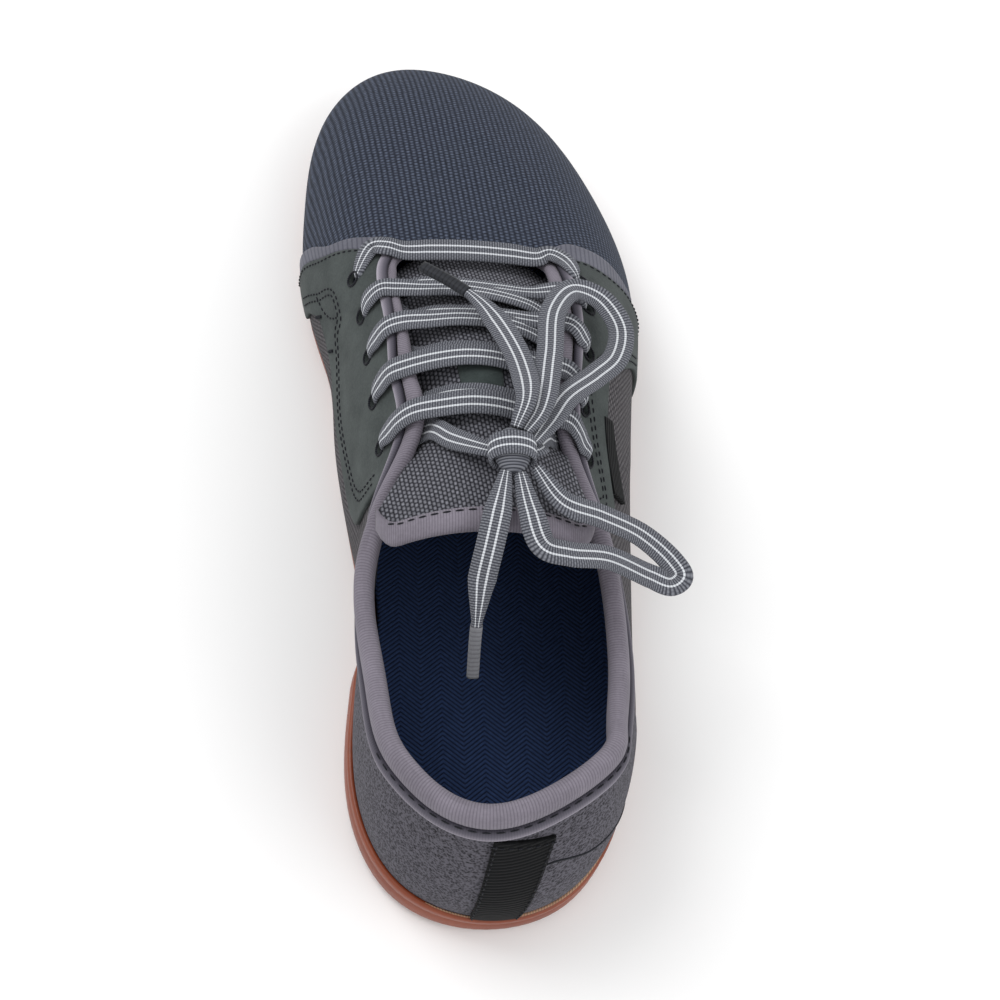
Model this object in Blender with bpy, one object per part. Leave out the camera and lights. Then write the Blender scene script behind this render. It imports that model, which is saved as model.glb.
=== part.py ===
"""Right-foot barefoot shoe: cupped sole, hollow knit upper, suede eyestays, laces."""
import bpy
import bmesh
import numpy as np

for old in list(bpy.data.objects):
    bpy.data.objects.remove(old, do_unlink=True)

# Main sizes in metres. +Y is the toe, +X the outer side of the foot, z = 0 the ground.
LENGTH = 0.286
BALL_WIDTH = 0.107
INSTEP_HEIGHT = 0.0748
HEEL_HEIGHT = 0.0671
SOLE_BASE = 0.0065
RIM_HEIGHT = 0.0062
RIM_THICK = 0.0014
FLANGE = 0.0030
TOE_SPRING = 0.0050
ARCH_LIFT = 0.0015
WALL = 0.0020
GAP = 0.0004
PANEL_GAP = 0.0006
INSOLE_THICK = 0.0035
OVERLAY_THICK = 0.0010
TONGUE_THICK = 0.0028
TONGUE_DROP = 0.0049
LACE_WIDTH = 0.0075
LACE_THICK = 0.0011
GROOVE_DEPTH = 0.0013
GROOVE_WIDTH = 0.0022

# One row per place round the foot, from the back of the heel by the outer side to the toe.
# side, edge_side, low_out, top_out are shares of the ball width; along and edge_along of the
# length; edge_rise, low_up, top_down of the height named in the second column.
STATION_COLUMNS = ("place", "height", "side", "along", "edge_side", "edge_along",
                   "edge_rise", "low_out", "low_up", "top_out", "top_down")
STATIONS = (
    ("heel_back", "heel", 0.038, 0.007, 0.011, 0.042, 1.001, 0.085, 0.298, 0.034, 0.309),
    ("heel_outer", "heel", 0.198, 0.026, 0.237, 0.085, 1.012, 0.077, 0.339, 0.059, 0.260),
    ("heel_side_outer", "heel", 0.330, 0.094, 0.302, 0.134, 0.935, 0.067, 0.341, 0.064, 0.230),
    ("ankle_outer", "heel", 0.385, 0.177, 0.315, 0.192, 0.873, 0.056, 0.304, 0.057, 0.203),
    ("waist_outer", "instep", 0.425, 0.315, 0.286, 0.328, 0.783, 0.023, 0.267, 0.058, 0.186),
    ("instep_outer", "instep", 0.440, 0.441, 0.184, 0.415, 0.970, 0.043, 0.351, 0.121, 0.184),
    ("ball_outer", "instep", 0.466, 0.567, 0.193, 0.525, 0.989, 0.027, 0.374, 0.204, 0.134),
    ("toe_outer", "instep", 0.491, 0.681, 0.190, 0.601, 0.855, 0.018, 0.321, 0.242, 0.121),
    ("tip_outer", "instep", 0.384, 0.829, 0.163, 0.638, 0.771, 0.033, 0.311, 0.326, 0.100),
    ("tip_mid", "instep", 0.126, 0.960, 0.023, 0.658, 0.764, 0.020, 0.329, 0.430, 0.106),
    ("tip", "instep", -0.240, 0.980, -0.121, 0.655, 0.762, 0.018, 0.341, 0.466, 0.107),
    ("tip_inner", "instep", -0.358, 0.940, -0.188, 0.646, 0.768, 0.018, 0.346, 0.411, 0.108),
    ("toe_inner", "instep", -0.447, 0.802, -0.223, 0.619, 0.800, 0.019, 0.348, 0.280, 0.107),
    ("ball_inner", "instep", -0.429, 0.667, -0.221, 0.584, 0.862, 0.019, 0.374, 0.224, 0.120),
    ("arch_inner", "instep", -0.379, 0.599, -0.206, 0.528, 0.949, 0.019, 0.388, 0.178, 0.140),
    ("vamp_inner", "instep", -0.354, 0.491, -0.189, 0.469, 0.989, 0.019, 0.401, 0.131, 0.160),
    ("instep_inner", "instep", -0.323, 0.406, -0.182, 0.409, 1.000, 0.019, 0.401, 0.121, 0.167),
    ("waist_inner", "instep", -0.293, 0.307, -0.306, 0.320, 0.825, 0.019, 0.321, 0.065, 0.187),
    ("ankle_inner", "heel", -0.321, 0.165, -0.296, 0.189, 0.874, 0.028, 0.328, 0.046, 0.209),
    ("heel_side_inner", "heel", -0.301, 0.100, -0.279, 0.134, 0.925, 0.029, 0.338, 0.046, 0.225),
    ("heel_inner", "heel", -0.203, 0.035, -0.226, 0.087, 0.972, 0.044, 0.329, 0.039, 0.268),
)

# Rolled edge round the opening: around (share of the way round the foot, negative on the inner
# side), half height and half thickness in metres.
BINDING = (
    (-0.440, 0.0025, 0.0013),
    (-0.250, 0.0025, 0.0013),
    (-0.205, 0.0028, 0.0017),
    (-0.165, 0.0034, 0.0026),
    (-0.090, 0.0036, 0.0028),
    (0.000, 0.0037, 0.0029),
    (0.090, 0.0036, 0.0028),
    (0.165, 0.0034, 0.0026),
    (0.210, 0.0028, 0.0017),
    (0.250, 0.0025, 0.0013),
    (0.392, 0.0025, 0.0013),
)
ROLL_MARGIN = 0.016
ROLL_FADE = 0.012

# Panel borders: around and down (0 at the rolled edge, 1 at the sole), from the throat down.
EYESTAY_INNER_FRONT = ((0.6150, 0.000), (0.6310, 0.070), (0.6480, 0.230), (0.6570, 0.460),
                       (0.6540, 0.700), (0.6520, 0.965))
EYESTAY_INNER_BACK = ((0.8080, 0.000), (0.8050, 0.280), (0.7960, 0.520), (0.7700, 0.600),
                      (0.7330, 0.640), (0.7000, 0.650), (0.6800, 0.740), (0.6720, 0.965))
EYESTAY_OUTER_FRONT = ((0.3670, 0.000), (0.3480, 0.070), (0.3350, 0.165), (0.3220, 0.300),
                       (0.3140, 0.500), (0.3110, 0.730), (0.3100, 0.965))
EYESTAY_OUTER_BACK = ((0.1800, 0.000), (0.1860, 0.200), (0.2000, 0.280), (0.2270, 0.205),
                      (0.2450, 0.155), (0.2590, 0.320), (0.2720, 0.600), (0.2770, 0.965))
TRIM_INNER_NEAR = ((0.6115, 0.004), (0.6275, 0.078), (0.6445, 0.238), (0.6540, 0.460),
                   (0.6505, 0.700), (0.6485, 0.900))
TRIM_INNER_FAR = ((0.5650, 0.004), (0.5900, 0.085), (0.6220, 0.190), (0.6470, 0.400),
                  (0.6455, 0.650), (0.6430, 0.900))
TRIM_OUTER_NEAR = ((0.3700, 0.004), (0.3510, 0.078), (0.3380, 0.173), (0.3250, 0.305),
                   (0.3175, 0.500), (0.3160, 0.600))
TRIM_OUTER_FAR = ((0.3850, 0.004), (0.3720, 0.105), (0.3520, 0.217), (0.3330, 0.390),
                  (0.3222, 0.510), (0.3178, 0.600))
# Heel tab: half width, then how far its top and its bottom lie to the outer side.
HEEL_TAB_HALF = 0.0058
HEEL_TAB_SHIFT = (0.0036, -0.0014)
TAG_AROUND = (0.2040, 0.2350)
TAG_DOWN = ((0.320, 0.450), (0.268, 0.350))

# The throat runs from its front corners to the collar corners, shares of the length. Tongue rows:
# share of that way, crown in metres over the side edges.
TONGUE_ROWS = (
    (0.000, 0.0018),
    (0.200, 0.0041),
    (0.450, 0.0067),
    (0.700, 0.0087),
    (1.000, 0.0102),
)
THROAT_FRONT = 0.632
THROAT_BACK = 0.409
# Free neck of the tongue behind the collar corners, in metres: back, rise of its sides, half
# width, crown and lean to the inner side.
TONGUE_NECK = (
    (0.0100, 0.0014, 0.0214, 0.0105, 0.0006),
    (0.0210, 0.0024, 0.0249, 0.0118, 0.0014),
    (0.0315, 0.0030, 0.0282, 0.0130, 0.0020),
)
TONGUE_EDGE = 0.0023
# Tongue under the upper: depths of its side flaps, reach and sink of its front end.
FLAP = (0.0090, 0.0045, 0.0)
TONGUE_REACH = 0.0050
TONGUE_SINK = 0.0020
KEEPER_HALF = 0.0065
KEEPER_SPAN = (0.690, 0.812)
KEEPER_THICK = 0.0007

# Eyelet places from front to back: around and down on the inner side, then on the outer side,
# then where the lace leaves the throat edge on each side, as a share of the throat's length.
EYELETS = (
    (0.6770, 0.215, 0.3150, 0.075, 0.125, 0.125),
    (0.7020, 0.225, 0.2880, 0.075, 0.275, 0.300),
    (0.7300, 0.200, 0.2600, 0.070, 0.500, 0.510),
    (0.7600, 0.183, 0.2330, 0.065, 0.735, 0.760),
    (0.7880, 0.150, 0.2080, 0.060, 0.975, 0.985),
)
LACE_SAG = 0.045
BAR_SHARE = 0.050
LACE_LIFT = 0.0018
UNDER = WALL + 0.0012
# Lace rise over the tongue: on the way to the knot, over the far edge, at the front bar.
FEEDER_RISE = (0.0034, 0.0056)
EDGE_RISE = 0.0027
BAR_RISE = 0.0052

# Bow: centre lines as shares of the ball width, the length and the instep height.
KNOT = (0.012, -0.143, 1.225)
KNOT_SIZE = (0.0075, 0.0060, 0.0045)
LOOP_FRONT = (
    (0.0465, -0.1233, 1.227),
    (0.087, -0.098, 1.217),
    (0.123, -0.032, 1.170),
    (0.149, 0.029, 1.116),
    (0.212, 0.062, 1.056),
    (0.285, 0.058, 1.016),
    (0.333, 0.028, 1.003),
    (0.314, -0.009, 1.023),
    (0.255, -0.035, 1.056),
    (0.164, -0.071, 1.130),
    (0.112, -0.105, 1.171),
    (0.0692, -0.1303, 1.202),
)
LOOP_SIDE = (
    (0.0293, -0.1645, 1.219),
    (0.049, -0.205, 1.230),
    (0.080, -0.236, 1.203),
    (0.144, -0.239, 1.163),
    (0.250, -0.232, 1.076),
    (0.368, -0.2355, 0.955),
    (0.422, -0.2390, 0.925),
    (0.448, -0.2300, 0.917),
    (0.428, -0.2170, 0.929),
    (0.350, -0.1980, 0.989),
    (0.242, -0.191, 1.083),
    (0.136, -0.186, 1.163),
    (0.0694, -0.1573, 1.2086),
)
END_FRONT = (
    (0.0211, -0.1219, 1.247),
    (0.050, -0.092, 1.259),
    (0.047, -0.049, 1.203),
    (0.014, -0.006, 1.156),
    (-0.037, 0.033, 1.110),
    (-0.106, 0.063, 1.070),
    (-0.183, 0.089, 1.027),
)
END_BACK = (
    (-0.006, -0.1640, 1.226),
    (-0.030, -0.205, 1.235),
    (-0.050, -0.236, 1.203),
    (-0.067, -0.261, 1.123),
    (-0.071, -0.276, 1.056),
    (-0.074, -0.296, 0.936),
    (-0.073, -0.317, 0.789),
)
TIP_LENGTH = 0.0180
TIP_WIDTH = 0.0030

UP = np.array((0.0, 0.0, 1.0))


def periodic_spline(knots, values):
    """Smooth closed curve through values at knots in 0 to 1; returns a function of the share."""
    count = len(knots)
    step = np.diff(np.append(knots, knots[0] + 1.0))
    matrix = np.zeros((count, count))
    right = np.zeros(values.shape)
    for i in range(count):
        before = (i - 1) % count
        after = (i + 1) % count
        matrix[i, before] += step[before]
        matrix[i, i] += 2 * (step[before] + step[i])
        matrix[i, after] += step[i]
        rise = (values[after] - values[i]) / step[i]
        run = (values[i] - values[before]) / step[before]
        right[i] = 6 * (rise - run)
    bend = np.linalg.solve(matrix, right)

    def at(share):
        share = np.mod(np.asarray(share, float), 1.0)
        k = np.clip(np.searchsorted(knots, share, side="right") - 1, 0, count - 1)
        n = (k + 1) % count
        h = step[k][..., None]
        d = (share - knots[k])[..., None]
        e = h - d
        curve = (e ** 3 * bend[k] + d ** 3 * bend[n]) / (6 * h)
        return curve + (values[k] / h - bend[k] * h / 6) * e + (values[n] / h - bend[n] * h / 6) * d

    return at


def open_spline(rows, count):
    """Points on a smooth curve through the rows, evenly spaced by row length."""
    rows = np.asarray(rows, float)
    gaps = np.maximum(np.linalg.norm(np.diff(rows, axis=0), axis=1), 1e-9) ** 0.5
    knots = np.concatenate(([0.0], np.cumsum(gaps)))
    slopes = np.gradient(rows, knots, axis=0)
    want = np.linspace(0.0, knots[-1], count)
    k = np.clip(np.searchsorted(knots, want, side="right") - 1, 0, len(rows) - 2)
    h = (knots[k + 1] - knots[k])[:, None]
    t = (want - knots[k])[:, None] / h
    first = (2 * t ** 3 - 3 * t ** 2 + 1) * rows[k] + (t ** 3 - 2 * t ** 2 + t) * h * slopes[k]
    return first + (3 * t ** 2 - 2 * t ** 3) * rows[k + 1] + (t ** 3 - t ** 2) * h * slopes[k + 1]


def column(name):
    return np.array([row[STATION_COLUMNS.index(name)] for row in STATIONS], float)


HEIGHT = np.array([HEEL_HEIGHT if row[1] == "heel" else INSTEP_HEIGHT for row in STATIONS])
SHAPE = np.stack([
    column("side") * BALL_WIDTH,
    column("along") * LENGTH,
    column("edge_side") * BALL_WIDTH,
    column("edge_along") * LENGTH,
    column("edge_rise") * HEIGHT,
    column("low_out") * BALL_WIDTH,
    column("low_up") * HEIGHT,
    column("top_out") * BALL_WIDTH,
    column("top_down") * HEIGHT,
], axis=1)
STRIDE = np.linalg.norm(np.roll(SHAPE[:, :2], -1, axis=0) - SHAPE[:, :2], axis=1)
KNOTS = np.concatenate(([0.0], np.cumsum(STRIDE)[:-1])) / STRIDE.sum()
shape_at = periodic_spline(KNOTS, SHAPE)


def spring(y):
    """Lift of the sole towards the toe."""
    return TOE_SPRING * np.clip((y / LENGTH - 0.74) / 0.26, 0.0, 1.0) ** 2


def arch(y):
    """Small lift of the tread under the waist, nothing at the heel and the ball."""
    share = np.clip((y / LENGTH - 0.27) / 0.25, 0.0, 1.0)
    return ARCH_LIFT * np.sin(np.pi * share) ** 2


def outline(around, out):
    """Plan curve of the foot, moved outwards; x and y only."""
    here = shape_at(around)[..., :2]
    tangent = shape_at(np.asarray(around) + 1e-4)[..., :2] - here
    tangent /= np.linalg.norm(tangent, axis=-1, keepdims=True)
    side = np.stack([tangent[..., 1], -tangent[..., 0]], axis=-1)
    return here + side * np.asarray(out)[..., None]


OUTER_RING = outline(np.linspace(0.0, 1.0, 721), FLANGE + 0.0008)
CENTRE = (OUTER_RING.max(axis=0) + OUTER_RING.min(axis=0)) / 2


def profile(around, v):
    """Outer face of the upper: one swept curve per place, v = 0 at the sole, 1 at the opening."""
    around = np.asarray(around, float)
    v = np.asarray(v, float)[..., None]
    row = shape_at(around)
    foot = row[..., :2]
    ahead = shape_at(around + 1e-4)[..., :2] - foot
    ahead /= np.linalg.norm(ahead, axis=-1, keepdims=True)
    out = np.stack([ahead[..., 1], -ahead[..., 0]], axis=-1)
    edge = row[..., 2:4]
    away = foot - edge
    away /= np.linalg.norm(away, axis=-1, keepdims=True)
    floor = SOLE_BASE + GAP + spring(foot[..., 1])
    p0 = np.concatenate([foot, floor[..., None]], axis=-1)
    p1 = p0 + np.concatenate([out * row[..., 5:6], row[..., 6:7]], axis=-1)
    p3 = np.concatenate([edge, row[..., 4:5]], axis=-1)
    p2 = p3 + np.concatenate([away * row[..., 7:8], -row[..., 8:9]], axis=-1)
    point = (1 - v) ** 3 * p0 + 3 * (1 - v) ** 2 * v * p1 + 3 * (1 - v) * v * v * p2 + v ** 3 * p3
    point[..., 0] -= CENTRE[0]
    point[..., 1] -= CENTRE[1]
    return point


def normal(around, v):
    """Outward direction of the upper's outer face."""
    v = np.clip(v, 0.004, 0.996)
    across = profile(around + 2e-3, v) - profile(around - 2e-3, v)
    upward = profile(around, v + 4e-3) - profile(around, v - 4e-3)
    n = np.cross(across, upward)
    return n / np.linalg.norm(n, axis=-1, keepdims=True)


def skin(around, v, off):
    """Point at a height v on the upper, moved along its outward direction."""
    around, v, off = np.broadcast_arrays(np.asarray(around, float), v, off)
    return profile(around, v) + normal(around, v) * off[..., None]


def climb(around):
    """Curve lengths from the opening edge down, one table per place."""
    v = np.linspace(1.0, 0.0, 41)
    line = profile(np.asarray(around, float)[..., None], v)
    length = np.linalg.norm(np.diff(line, axis=-2), axis=-1)
    start = np.zeros(length.shape[:-1] + (1,))
    return v, np.concatenate([start, np.cumsum(length, axis=-1)], axis=-1)


def v_from_edge(around, distance):
    """Height v of the point that lies a distance below the opening edge."""
    around, distance = np.broadcast_arrays(np.asarray(around, float), distance)
    v, table = climb(around)
    flat = [np.interp(d, row, v) for d, row in zip(distance.ravel(), table.reshape(-1, len(v)))]
    return np.array(flat).reshape(around.shape)


def roll_half(around):
    """Half height and half thickness of the rolled edge at a place."""
    a = np.mod(np.asarray(around, float) + 0.5, 1.0) - 0.5
    table = np.array(BINDING)
    return np.interp(a, table[:, 0], table[:, 1]), np.interp(a, table[:, 0], table[:, 2])


def roll_depth(around):
    """Height that the rolled edge takes from the upper; it fades at the front of the throat."""
    a = np.mod(np.asarray(around, float) + 0.5, 1.0) - 0.5
    reach = ROLL_MARGIN + ROLL_FADE
    front = np.minimum(BINDING[-1][0] + reach - a, a - BINDING[0][0] + reach)
    fade = np.clip(front / ROLL_FADE, 0.0, 1.0)
    return 2 * roll_half(around)[0] * fade


def v_down(around, down):
    """Height v from a share of the way from the rolled edge down to the sole."""
    around, down = np.broadcast_arrays(np.asarray(around, float), down)
    total = climb(around)[1][..., -1]
    top = roll_depth(around) + 2 * GAP
    return v_from_edge(around, top + down * (total - top))


def smooth_faces(mesh):
    mesh.shade_smooth()
    mesh.set_sharp_from_angle(angle=np.radians(38))


def material(name, colour, roughness):
    mat = bpy.data.materials.new(name)
    mat.use_nodes = True
    shader = mat.node_tree.nodes["Principled BSDF"]
    shader.inputs["Base Color"].default_value = (*colour, 1.0)
    shader.inputs["Roughness"].default_value = roughness
    mat.diffuse_color = (*colour, 1.0)
    return mat


def solid(name, verts, faces, mat):
    """One closed body from points and faces, its faces turned outwards."""
    mesh = bpy.data.meshes.new(name)
    mesh.from_pydata([tuple(p) for p in verts], [], faces)
    bm = bmesh.new()
    bm.from_mesh(mesh)
    bmesh.ops.remove_doubles(bm, verts=bm.verts, dist=1e-6)
    bmesh.ops.triangulate(bm, faces=bm.faces, quad_method="SHORT_EDGE", ngon_method="BEAUTY")
    bmesh.ops.recalc_face_normals(bm, faces=bm.faces)
    if bm.calc_volume(signed=True) < 0:
        bmesh.ops.reverse_faces(bm, faces=bm.faces)
    bm.to_mesh(mesh)
    bm.free()
    smooth_faces(mesh)
    ob = bpy.data.objects.new(name, mesh)
    bpy.context.scene.collection.objects.link(ob)
    mesh.materials.append(mat)
    return ob


def sheet(name, top, bottom, mat, loop=False):
    """Closed shell between two grids of points; loop joins the last column to the first."""
    rows, cols = top.shape[:2]
    verts = np.concatenate([top.reshape(-1, 3), bottom.reshape(-1, 3)])
    base = rows * cols

    def at(i, j, low):
        return i * cols + j % cols + (base if low else 0)

    faces = []
    for i in range(rows - 1):
        for j in range(cols if loop else cols - 1):
            faces.append((at(i, j, 0), at(i, j + 1, 0), at(i + 1, j + 1, 0), at(i + 1, j, 0)))
            faces.append((at(i, j, 1), at(i + 1, j, 1), at(i + 1, j + 1, 1), at(i, j + 1, 1)))
    for i in (0, rows - 1):
        for j in range(cols if loop else cols - 1):
            faces.append((at(i, j, 0), at(i, j, 1), at(i, j + 1, 1), at(i, j + 1, 0)))
    for j in () if loop else (0, cols - 1):
        for i in range(rows - 1):
            faces.append((at(i, j, 0), at(i + 1, j, 0), at(i + 1, j, 1), at(i, j, 1)))
    return solid(name, verts, faces, mat)


def tube(name, rings, mat, closed=False):
    """Body swept through rings of points, its two ends capped."""
    rings = np.asarray(rings)
    count, around = rings.shape[:2]
    faces = []
    for i in range(count if closed else count - 1):
        n = (i + 1) % count
        for j in range(around):
            k = (j + 1) % around
            faces.append((i * around + j, i * around + k, n * around + k, n * around + j))
    if not closed:
        faces.append(tuple(range(around - 1, -1, -1)))
        faces.append(tuple(range((count - 1) * around, count * around)))
    return solid(name, rings.reshape(-1, 3), faces, mat)


def ladder(verts, faces, ring, height, steps):
    """Fill a ring of vertex numbers with rungs from its outer to its inner side."""
    count = len(ring)
    half = count // 2
    rungs = [[ring[0]]]
    for i in range(1, half):
        a = np.array(verts[ring[i]])
        b = np.array(verts[ring[count - i]])
        row = [ring[i]]
        for s in range(1, steps):
            p = a + (b - a) * s / steps
            p[2] = height(p[0], p[1], s / steps)
            row.append(len(verts))
            verts.append(tuple(p))
        row.append(ring[count - i])
        rungs.append(row)
    rungs.append([ring[half]])
    for low, high in zip(rungs[:-1], rungs[1:]):
        if len(low) == 1:
            faces.extend((low[0], high[s], high[s + 1]) for s in range(steps))
        elif len(high) == 1:
            faces.extend((low[s], high[0], low[s + 1]) for s in range(steps))
        else:
            faces.extend((low[s], high[s], high[s + 1], low[s + 1]) for s in range(steps))


def plate(name, rings, top_height, bottom_height, steps, mat):
    """Body between a top and a bottom filling, its side wall through the rings from top to bottom."""
    verts = [tuple(p) for p in np.concatenate(rings)]
    count = len(rings[0])
    faces = []
    for i in range(len(rings) - 1):
        for j in range(count):
            k = (j + 1) % count
            faces.append((i * count + j, i * count + k, (i + 1) * count + k, (i + 1) * count + j))
    ladder(verts, faces, list(range(count)), top_height, steps)
    last = (len(rings) - 1) * count
    ladder(verts, faces, list(range(last, last + count)), bottom_height, steps)
    return solid(name, verts, faces, mat)


def ring_at(around, out, height):
    """Level ring on the plan curve; height is a function of the length along the sole."""
    plan = outline(around, np.full(len(around), out))
    z = height(plan[:, 1])
    return np.stack([plan[:, 0] - CENTRE[0], plan[:, 1] - CENTRE[1], z], axis=1)


GUM = material("gum_rubber", (0.38, 0.10, 0.045), 0.55)
KNIT = material("slate_knit", (0.050, 0.056, 0.080), 0.85)
FOOTBED = material("navy_footbed", (0.015, 0.025, 0.075), 0.9)
SUEDE = material("grey_suede", (0.065, 0.080, 0.085), 0.9)
TRIM = material("lavender_trim", (0.19, 0.18, 0.23), 0.7)
WEB = material("dark_webbing", (0.014, 0.020, 0.028), 0.75)
LACE = material("grey_lace", (0.15, 0.15, 0.17), 0.8)

# Outsole: cup floor, rim that follows the upper, flared side wall, tread with flex grooves.
SOLE_COUNT = 60
sole_around = np.arange(SOLE_COUNT) / SOLE_COUNT
floor_z = shape_at(sole_around)[:, 1]
climbed = climb(sole_around)


def v_above_floor(around, height):
    """Height v of the point that lies a height above the cup floor."""
    v = np.linspace(0.0, 0.35, 36)
    z = profile(np.asarray(around)[:, None], v)[..., 2]
    return np.array([np.interp(height, row - row[0], v) for row in z])


def rim_ring(height, out):
    v = v_above_floor(sole_around, height)
    level = skin(sole_around, v, 0.0)
    side = outline(sole_around, 1.0) - outline(sole_around, 0.0)
    level[:, :2] += side * out
    return level


def base_top(y):
    return SOLE_BASE + spring(y)


def tread(y):
    return spring(y) + arch(y)


rings = [
    ring_at(sole_around, 2 * GAP, base_top),
    rim_ring(RIM_HEIGHT * 0.5, 2 * GAP),
    rim_ring(RIM_HEIGHT, 2 * GAP),
    rim_ring(RIM_HEIGHT, 2 * GAP + RIM_THICK),
    ring_at(sole_around, FLANGE, lambda y: 0.0072 + spring(y)),
    ring_at(sole_around, FLANGE + 0.0004, lambda y: 0.0034 + tread(y)),
    ring_at(sole_around, FLANGE - 0.0012, lambda y: 0.0008 + tread(y)),
    ring_at(sole_around, 0.0003, tread),
]
outsole = plate(
    "outsole", rings,
    lambda x, y, s: base_top(y + CENTRE[1]),
    lambda x, y, s: tread(y + CENTRE[1]),
    5, GUM,
)

# Flex grooves across the forefoot and the heel.
GROOVES = (0.090, 0.150, 0.210, 0.550, 0.605, 0.660, 0.715, 0.775)
groove_verts = []
groove_faces = []
for share in GROOVES:
    middle = share * LENGTH - CENTRE[1]
    low = -0.01
    high = float(tread(share * LENGTH)) + GROOVE_DEPTH
    start = len(groove_verts)
    for x in (-BALL_WIDTH, BALL_WIDTH):
        slant = -0.010 * x / BALL_WIDTH
        for z in (low, high):
            for y in (-GROOVE_WIDTH / 2, GROOVE_WIDTH / 2):
                groove_verts.append((x, middle + y + slant, z))
    box = ((0, 1, 3, 2), (4, 6, 7, 5), (0, 4, 5, 1), (2, 3, 7, 6), (0, 2, 6, 4), (1, 5, 7, 3))
    groove_faces.extend(tuple(start + k for k in face) for face in box)
cutter = solid("groove_cutter", groove_verts, groove_faces, GUM)
cutter.hide_render = True
cutter.display_type = "WIRE"
cut = outsole.modifiers.new("grooves", "BOOLEAN")
cut.operation = "DIFFERENCE"
cut.solver = "EXACT"
cut.object = cutter

# Insole: a loose footbed that lies inside the upper, raised a little at its border.
IN = -(WALL + 2 * PANEL_GAP)
insole_rings = [
    ring_at(sole_around, IN, lambda y: base_top(y) + GAP + INSOLE_THICK + 0.0012),
    ring_at(sole_around, IN, lambda y: base_top(y) + GAP + INSOLE_THICK * 0.5),
    ring_at(sole_around, IN - 0.0004, lambda y: base_top(y) + GAP),
]
plate(
    "insole", insole_rings,
    lambda x, y, s: base_top(y + CENTRE[1]) + GAP + INSOLE_THICK,
    lambda x, y, s: base_top(y + CENTRE[1]) + GAP,
    5, FOOTBED,
)

# Upper: one hollow shell from the sole to the opening.
UPPER_COUNT = 66
UPPER_ROWS = 10
upper_around = np.arange(UPPER_COUNT) / UPPER_COUNT
upper_rim = v_from_edge(upper_around, roll_depth(upper_around) + PANEL_GAP)
spread = np.linspace(0.0, 1.0, UPPER_ROWS)[:, None]
upper_v = spread * upper_rim[None, :]
upper_u = np.broadcast_to(upper_around, upper_v.shape)
outside = skin(upper_u, upper_v, 0.0)
inside = skin(upper_u, upper_v, -WALL)
inside[0, :, 2] = outside[0, :, 2]
sheet("upper", outside, inside, KNIT, loop=True)

# Rolled edge: a padded oval along the collar and both sides of the throat.
roll_first = round(BINDING[0][0] * UPPER_COUNT)
roll_last = round(BINDING[-1][0] * UPPER_COUNT)
roll_around = np.arange(roll_first, roll_last + 1) / UPPER_COUNT
half_high, half_thick = roll_half(roll_around)
roll_v = v_from_edge(roll_around, half_high)
roll_centre = skin(roll_around, roll_v, half_thick - 0.7 * WALL)
roll_normal = normal(roll_around, roll_v)
roll_rise = profile(roll_around, roll_v + 0.01) - profile(roll_around, roll_v - 0.01)
roll_rise /= np.linalg.norm(roll_rise, axis=-1, keepdims=True)
turn = np.arange(8) / 8 * 2 * np.pi
ovals = (
    roll_centre[:, None]
    + np.cos(turn)[None, :, None] * roll_rise[:, None] * half_high[:, None, None]
    + np.sin(turn)[None, :, None] * roll_normal[:, None] * half_thick[:, None, None]
)
tube("collar_binding", ovals, TRIM)


def panel(name, front, back, rows, cols, low, high, mat):
    """Overlay between two borders, each given by its around and down shares."""
    front = open_spline(front, rows)
    back = open_spline(back, rows)
    across = np.linspace(0.0, 1.0, cols)[None, :]
    around = front[:, :1] + (back[:, :1] - front[:, :1]) * across
    down = front[:, 1:] + (back[:, 1:] - front[:, 1:]) * across
    v = v_down(around, np.clip(down, 0.0, 0.90))
    return sheet(name, skin(around, v, high), skin(around, v, low), mat)


LOW = PANEL_GAP
HIGH = PANEL_GAP + OVERLAY_THICK
panel("eyestay_medial", EYESTAY_INNER_FRONT, EYESTAY_INNER_BACK, 12, 13, LOW, HIGH, SUEDE)
panel("eyestay_lateral", EYESTAY_OUTER_FRONT, EYESTAY_OUTER_BACK, 12, 13, LOW, HIGH, SUEDE)


panel("vamp_trim_medial", TRIM_INNER_NEAR, TRIM_INNER_FAR, 12, 3, LOW, HIGH, TRIM)
panel("vamp_trim_lateral", TRIM_OUTER_NEAR, TRIM_OUTER_FAR, 12, 3, LOW, HIGH, TRIM)

# Heel tab: webbing strip down the back, and a bare tag on the outer quarter.
tab_rows = np.linspace(0.10, 0.86, 11)
tab_half = HEEL_TAB_HALF / STRIDE.sum()
tab_u, tab_down = np.meshgrid(np.linspace(-tab_half, tab_half, 5), tab_rows)
tab_lean = np.array(HEEL_TAB_SHIFT) / STRIDE.sum()
tab_u = tab_u + np.interp(tab_down, (tab_rows[0], tab_rows[-1]), tab_lean)
tab_v = v_down(tab_u, tab_down)
sheet("heel_tab", skin(tab_u, tab_v, HIGH), skin(tab_u, tab_v, LOW), WEB)
tag_u = np.tile(np.linspace(*TAG_AROUND, 6), (2, 1))
tag_share = np.linspace(0.0, 1.0, 6)
tag_down = np.array([(1 - tag_share) * TAG_DOWN[0][k] + tag_share * TAG_DOWN[1][k] for k in (0, 1)])
tag_v = v_down(tag_u, tag_down)
sheet("side_tag", skin(tag_u, tag_v, HIGH), skin(tag_u, tag_v, LOW), WEB)

# Tongue: side flaps follow the inside of the upper, the middle is a low crown between them.
ACROSS = np.linspace(-1.0, 1.0, 11)


side_inner = np.linspace(0.560, 0.820, 131)
side_outer = np.linspace(0.392, 0.190, 131)
edge_inner = shape_at(side_inner)[:, 3]
edge_outer = shape_at(side_outer)[:, 3]


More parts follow.
